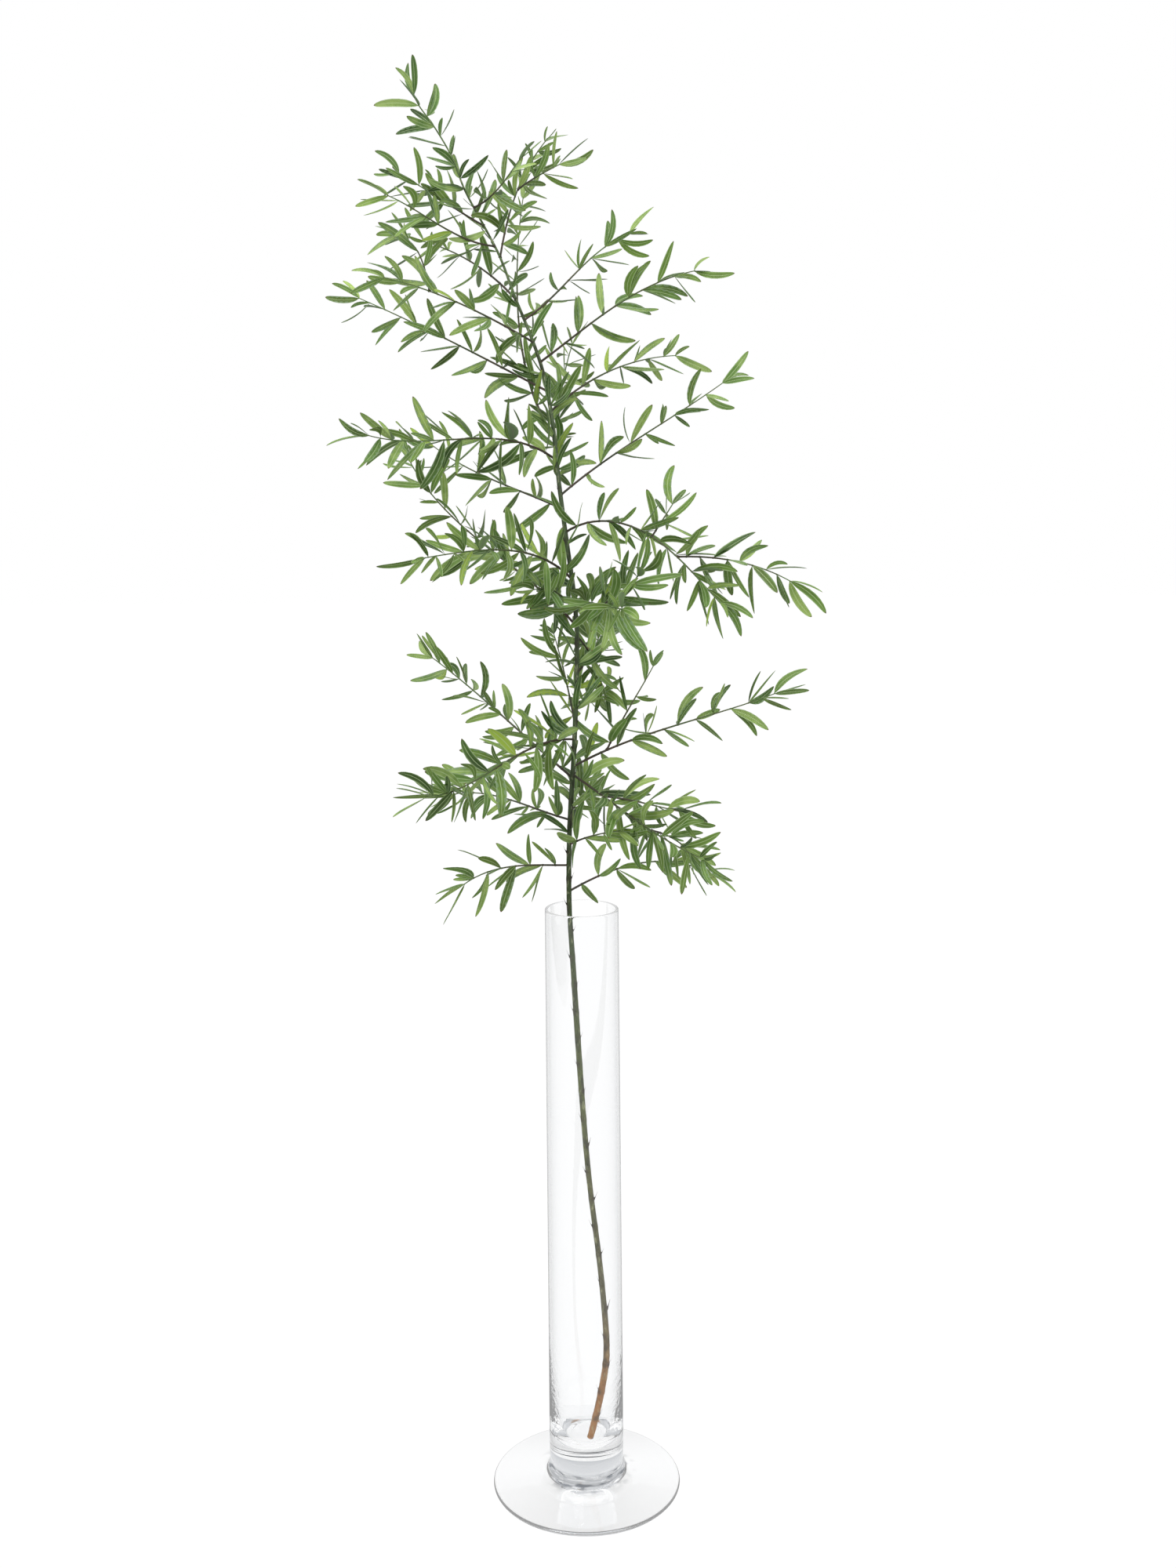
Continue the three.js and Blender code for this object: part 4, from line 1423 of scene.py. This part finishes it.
    def build(self) -> Piece:
        """Joins the stem, its bud scales and its own leaves in one piece.

        Returns:
            The finished piece.
        """
        parts = [self.skin_tube()]
        spur = Spur(self.bark)
        looks = Draws(self.seed + 1)
        for height, side in self.joints():
            outward = Vector((side, 0.0, 0.0)) * self.radius(height) * self.bud_depth
            point = self.path.at_height(height) + outward
            heading = looks.within(*self.bud_heading) + (0.0 if side > 0 else 180.0)
            parts.append(spur.copy_to(point, heading, looks.within(*self.bud_size)))
        bpy.data.objects.remove(spur.template)
        draws = Draws(self.seed)
        leaves = []
        for stretch in self.leafy:
            start, end = (self.path.distance_at_height(height) for height in (stretch.bottom, stretch.top))
            leaves += RULE.along(self.path, start, end, stretch.leaf, stretch.spacing, stretch.tuft, draws)[1]
        parts += self.foliage.leaves(leaves, Draws(self.seed + 2), lambda index: 0.0)
        piece = join(parts, "leafy_stem")
        return present(piece, Slot.BARK, self.node)


@dataclass
class FrondPiece:
    """A finished frond: its branches and all their leaves, in one piece for its node."""

    frond: Frond
    branch: Branch
    foliage: Foliage
    young_node: str = "frond_left_13"
    young_leaves: int = 9
    young_share: float = 0.02
    young: Span = (0.6, 1.0)
    young_elsewhere: Span = (0.5, 0.9)
    usual: Span = (0.0, 0.18)
    looks_stream: int = 500
    youth_stream: int = 900

    def freshness(self, draws: Draws) -> Callable[[int], float]:
        """How young each leaf looks: the first leaves of one frond, and a few others anywhere.

        Args:
            draws: stream that picks the others.

        Returns:
            A function of the leaf's number.
        """
        def fresh(index: int) -> float:
            """Freshness of one leaf, from 0 to 1."""
            pick = draws.draw()
            if self.frond.node == self.young_node and index < self.young_leaves:
                return mixed(*self.young, pick)
            if pick < self.young_share:
                return draws.within(*self.young_elsewhere)
            return mixed(*self.usual, pick)
        return fresh

    def build(self, root: Vector) -> Piece:
        """Builds the frond from its root on the main axis.

        Args:
            root: where the frond leaves the main axis.

        Returns:
            The finished piece.
        """
        draws = Draws(self.frond.seed)
        looks = Draws(self.frond.seed + self.looks_stream)
        spacing = RULE.spacing * self.frond.spacing_share
        main = self.frond.main.path(root)
        paths = [main, *(twig.path(main.place(main.length * twig.at)[0]) for twig in self.frond.twigs)]
        parts = []
        leaves = []
        for index, path in enumerate(paths):
            start = RULE.bare_twig_root if index else RULE.bare_root
            nodes, grown = RULE.along(path, start, path.length, self.frond.leaf, spacing, True, draws)
            parts.append(self.branch.model(f"{self.frond.node}_branch", path, nodes))
            leaves += grown
        youth = self.freshness(Draws(self.frond.seed + self.youth_stream))
        parts += self.foliage.leaves(leaves, looks, youth)
        piece = join(parts, f"leafy_{self.frond.node}")
        return present(piece, Slot.FOLIAGE, self.frond.node)


def present(piece: Piece, slot: Slot, node: str) -> Piece:
    """Hands a finished piece over: it rides on the body and stands for its node.

    Args:
        piece: the finished piece, at the origin.
        slot: a material slot; not used.
        node: the node of the solids that it stands for.

    Returns:
        The same piece.
    """
    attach(piece, BODY)
    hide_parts(node)
    LOG.info("%s: %d faces", piece.name, len(piece.data.polygons))
    return piece


@dataclass
class Vase:
    """A tall cylinder of clear glass on a wide thin foot, with a thick bowled bottom."""

    glass: bpy.types.Material
    node: str = "vase"
    height: float = 0.500
    radius: float = 32.1 * MM
    wall: float = 2.4 * MM
    foot_radius: float = 81.0 * MM
    foot_edge: float = 1.5 * MM
    groove_height: float = 20.0 * MM
    groove_depth: float = 0.6 * MM
    groove_reach: float = 5.0 * MM
    inner_floor: float = 37.5 * MM
    inner_floor_radius: float = 14.0 * MM
    foot_top: Pairs = (
        (78.5, 3.25), (58.0, 7.1), (46.0, 9.4), (38.0, 10.95), (35.8, 11.4), (34.7, 11.8), (34.0, 12.5),
        (33.6, 13.5), (33.4, 15.0),
    )
    bowl: Pairs = (
        (0.0, 117.0), (0.0, 115.0), (0.35, 97.0), (1.1, 80.0), (1.9, 69.0), (3.2, 58.0), (4.6, 51.0),
        (6.4, 45.6), (8.3, 42.3), (10.5, 40.0), (13.0, 38.6), (15.0, 38.2),
    )
    segments: int = 128
    support: float = 1.5 * MM
    arc_steps: int = 8

    def arc(self, centre: Span, radius: float, start: float, end: float) -> Pairs:
        """Points of an arc of the section.

        Args:
            centre: its centre, as radius and height.
            radius: its own radius.
            start: first angle in degrees.
            end: last angle.

        Returns:
            The points as (radius, height).
        """
        across, up = centre
        turns = np.radians(np.linspace(start, end, self.arc_steps + 1))
        return tuple((across + radius * math.cos(turn), up + radius * math.sin(turn)) for turn in turns)

    def section(self) -> Pairs:
        """Half section from the underside, up the outside and down the inside, as (radius, height).

        A ring stands close to both ends of each straight stretch, so that its faces shade flat.
        """
        inner = self.radius - self.wall
        rim = self.wall / 2
        near = self.support
        reach = self.groove_reach
        return (
            (self.foot_radius - self.foot_edge - near, 0.0),
            *self.arc((self.foot_radius - self.foot_edge, self.foot_edge), self.foot_edge, -90, 80),
            *((radius * MM, height * MM) for radius, height in self.foot_top),
            (self.radius - self.groove_depth / 3, self.groove_height - reach / 2),
            (self.radius - self.groove_depth, self.groove_height),
            (self.radius - self.groove_depth / 3, self.groove_height + reach / 2),
            (self.radius, self.groove_height + reach),
            (self.radius, self.groove_height + reach + near),
            (self.radius, self.height - rim - near),
            *self.arc((self.radius - rim, self.height - rim), rim, 0, 180),
            (inner, self.height - rim - near),
            *((inner - inside * MM, height * MM) for inside, height in self.bowl),
            (self.inner_floor_radius, self.inner_floor),
            (self.inner_floor_radius - near, self.inner_floor),
        )

    def build(self) -> Piece:
        """Turns the vase: a filled circle is drawn out ring by ring along the section.

        Returns:
            The finished piece.
        """
        rings = [((0.0, 0.0, height), radius) for radius, height in self.section()]
        centre, radius = rings[0]
        obj = filled_ring("glass_vase", self.segments, radius, centre=centre)
        draw_out(rings, (True, True, False), smooth_angle=40.0)
        obj.data.materials.append(self.glass)
        return present(obj, Slot.GLASS, self.node)


@dataclass
class Studio:
    """A white floor and surroundings, soft lights, and a camera at the height of the middle fronds."""

    floor_size: float = 30.0
    floor_drop: float = 0.4 * MM
    focal_pixels: float = 2071.2
    image_width: float = 1500.0
    image_height: float = 2000.0
    centre_column: float = 739.3
    centre_row: float = 678.9
    distance: float = 1.4112
    eye_height: float = 0.83955
    eye_side: float = 0.00127
    pitch: float = 0.5
    roll: float = 0.0092
    sensor: float = 36.0
    clip: Span = (0.05, 60.0)
    floor_glow: float = 0.92
    sweep_glow: float = 1.03
    sweep_reach: Span = (0.25, 0.9)
    mirrored_light: float = 0.36
    mirrored_above: float = 1.0
    through_glass: Colour = (0.62, 0.635, 0.655, 1.0)
    paint: Colour = (0.08, 0.08, 0.08, 1.0)
    paint_roughness: float = 0.9
    low_light: Colour = (0.62, 0.63, 0.65, 1.0)
    light_reach: Span = (-0.2, 0.9)
    mirrored_reach: Span = (0.05, 0.4)
    aim: Triple = (0.0, 0.0, 0.75)
    lamps: tuple[tuple[str, Triple, float, float], ...] = (
        ("key_light", (-1.3, -1.9, 2.2), 38.0, 1.4),
        ("fill_light", (1.9, -1.2, 1.4), 14.0, 1.4),
        ("top_light", (0.2, 0.3, 3.2), 30.0, 1.8),
    )

    def floor(self) -> None:
        """Lays the pale floor just under the foot."""
        deselect_all()
        bpy.ops.mesh.primitive_plane_add(size=self.floor_size, location=(0.0, 0.0, -self.floor_drop))
        floor = bpy.context.object
        floor.name = "studio_floor"
        settle(floor)
        material, shading = new_material("floor_white")
        painted = {"Base Color": self.paint, "Roughness": self.paint_roughness, "Specular IOR Level": 0.0,
                   "Emission Color": WHITE, "Emission Strength": self.floor_glow}
        surface = shading.add("BsdfPrincipled", painted)
        sweep = shading.add("Emission", {"Color": WHITE, "Strength": self.sweep_glow})
        far = shading.ramp(shading.length(shading.place()), *self.sweep_reach)
        plain = shading.add("MixShader", {0: far, 1: surface.outputs[0], 2: sweep.outputs[0]})
        mirrored = shading.add("Emission", {"Color": WHITE, "Strength": self.mirrored_light})
        rays = shading.add("LightPath").outputs
        reflected = shading.minus(rays["Is Glossy Ray"], rays["Is Transmission Ray"])
        shading.finish(plain.outputs[0], reflected, mirrored.outputs[0])
        floor.data.materials.append(material)

    def surroundings(self) -> None:
        """A white world: plain white to the eye, and a softly graded studio to what it lights."""
        world = bpy.data.worlds.new("white_studio")
        bpy.context.scene.world = world
        world.use_nodes = True
        world.node_tree.nodes.clear()
        shading = Shading(world.node_tree)
        direction = shading.add("SeparateXYZ", {0: shading.add("TexCoord").outputs["Generated"]}).outputs
        light = shading.mix(shading.ramp(direction[2], *self.light_reach), self.low_light, WHITE)
        rays = shading.add("LightPath").outputs
        mirrored = shading.ramp(direction[2], *self.mirrored_reach, self.mirrored_light, self.mirrored_above)
        light = shading.mix(rays["Is Glossy Ray"], light, mirrored)
        unscattered = shading.math("LESS_THAN", rays["Diffuse Depth"], 0.5)
        refracted = shading.times(rays["Is Transmission Ray"], unscattered)
        light = shading.mix(refracted, light, self.through_glass)
        light = shading.mix(rays["Is Camera Ray"], light, WHITE)
        world_light = shading.add("Background", {"Color": light, "Strength": 1.0})
        shading.add("OutputWorld", {"Surface": world_light.outputs[0]})

    def light(self, name: str, place: Triple, power: float, size: float) -> None:
        """Adds one large soft light that faces the plant.

        Args:
            name: the light's name.
            place: where it stands.
            power: its strength in watts.
            size: its edge length in metres.
        """
        deselect_all()
        bpy.ops.object.light_add(type="AREA", location=place)
        lamp = bpy.context.object
        lamp.name = name
        lamp.data.energy = power
        lamp.data.shape = "SQUARE"
        lamp.data.size = size
        lamp.visible_transmission = False
        ray = Vector(self.aim) - Vector(place)
        lamp.rotation_euler = ray.to_track_quat("-Z", "Y").to_euler()

    def camera(self) -> None:
        """Adds the camera at the photograph's viewing angle."""
        deselect_all()
        bpy.ops.object.camera_add(location=(self.eye_side, -self.distance, self.eye_height))
        camera = bpy.context.object
        camera.name = "studio_camera"
        tilt = Matrix.Rotation(math.radians(90.0 - self.pitch), 3, "X")
        lean = Matrix.Rotation(-self.roll, 3, "Z")
        camera.rotation_euler = (tilt @ lean).to_euler()
        camera.data.sensor_width = self.sensor
        camera.data.lens = self.focal_pixels / self.image_height * self.sensor
        camera.data.shift_x = (self.image_width / 2 - self.centre_column) / self.image_height
        camera.data.shift_y = (self.centre_row - self.image_height / 2) / self.image_height
        camera.data.clip_start, camera.data.clip_end = self.clip
        bpy.context.scene.camera = camera

    def build(self) -> None:
        """Sets up the whole studio."""
        self.surroundings()
        self.floor()
        for lamp in self.lamps:
            self.light(*lamp)
        self.camera()
        bpy.context.scene.view_settings.view_transform = "Standard"


def main() -> None:
    """Builds the stem, its fronds, the vase and the studio."""
    logging.basicConfig(level=logging.INFO, format="%(name)s: %(message)s")
    Studio().build()
    blade = LeafBlade()
    low, high = (np.array(corner) for corner in CAD_BOX)
    foliage = Foliage(blade, LeafSkin().material(), low, high)
    stem = MainStem(Bark().material(), foliage)
    stem.build()
    branch = Branch(TwigSkin().material())
    for frond in FRONDS:
        FrondPiece(frond, branch, foliage).build(stem.path.at_height(frond.height))
    bpy.data.objects.remove(blade.template)
    Vase(ClearGlass().material()).build()
    LOG.info("%d leaves in all", foliage.count)
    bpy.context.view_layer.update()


if __name__ == "__main__":
    main()
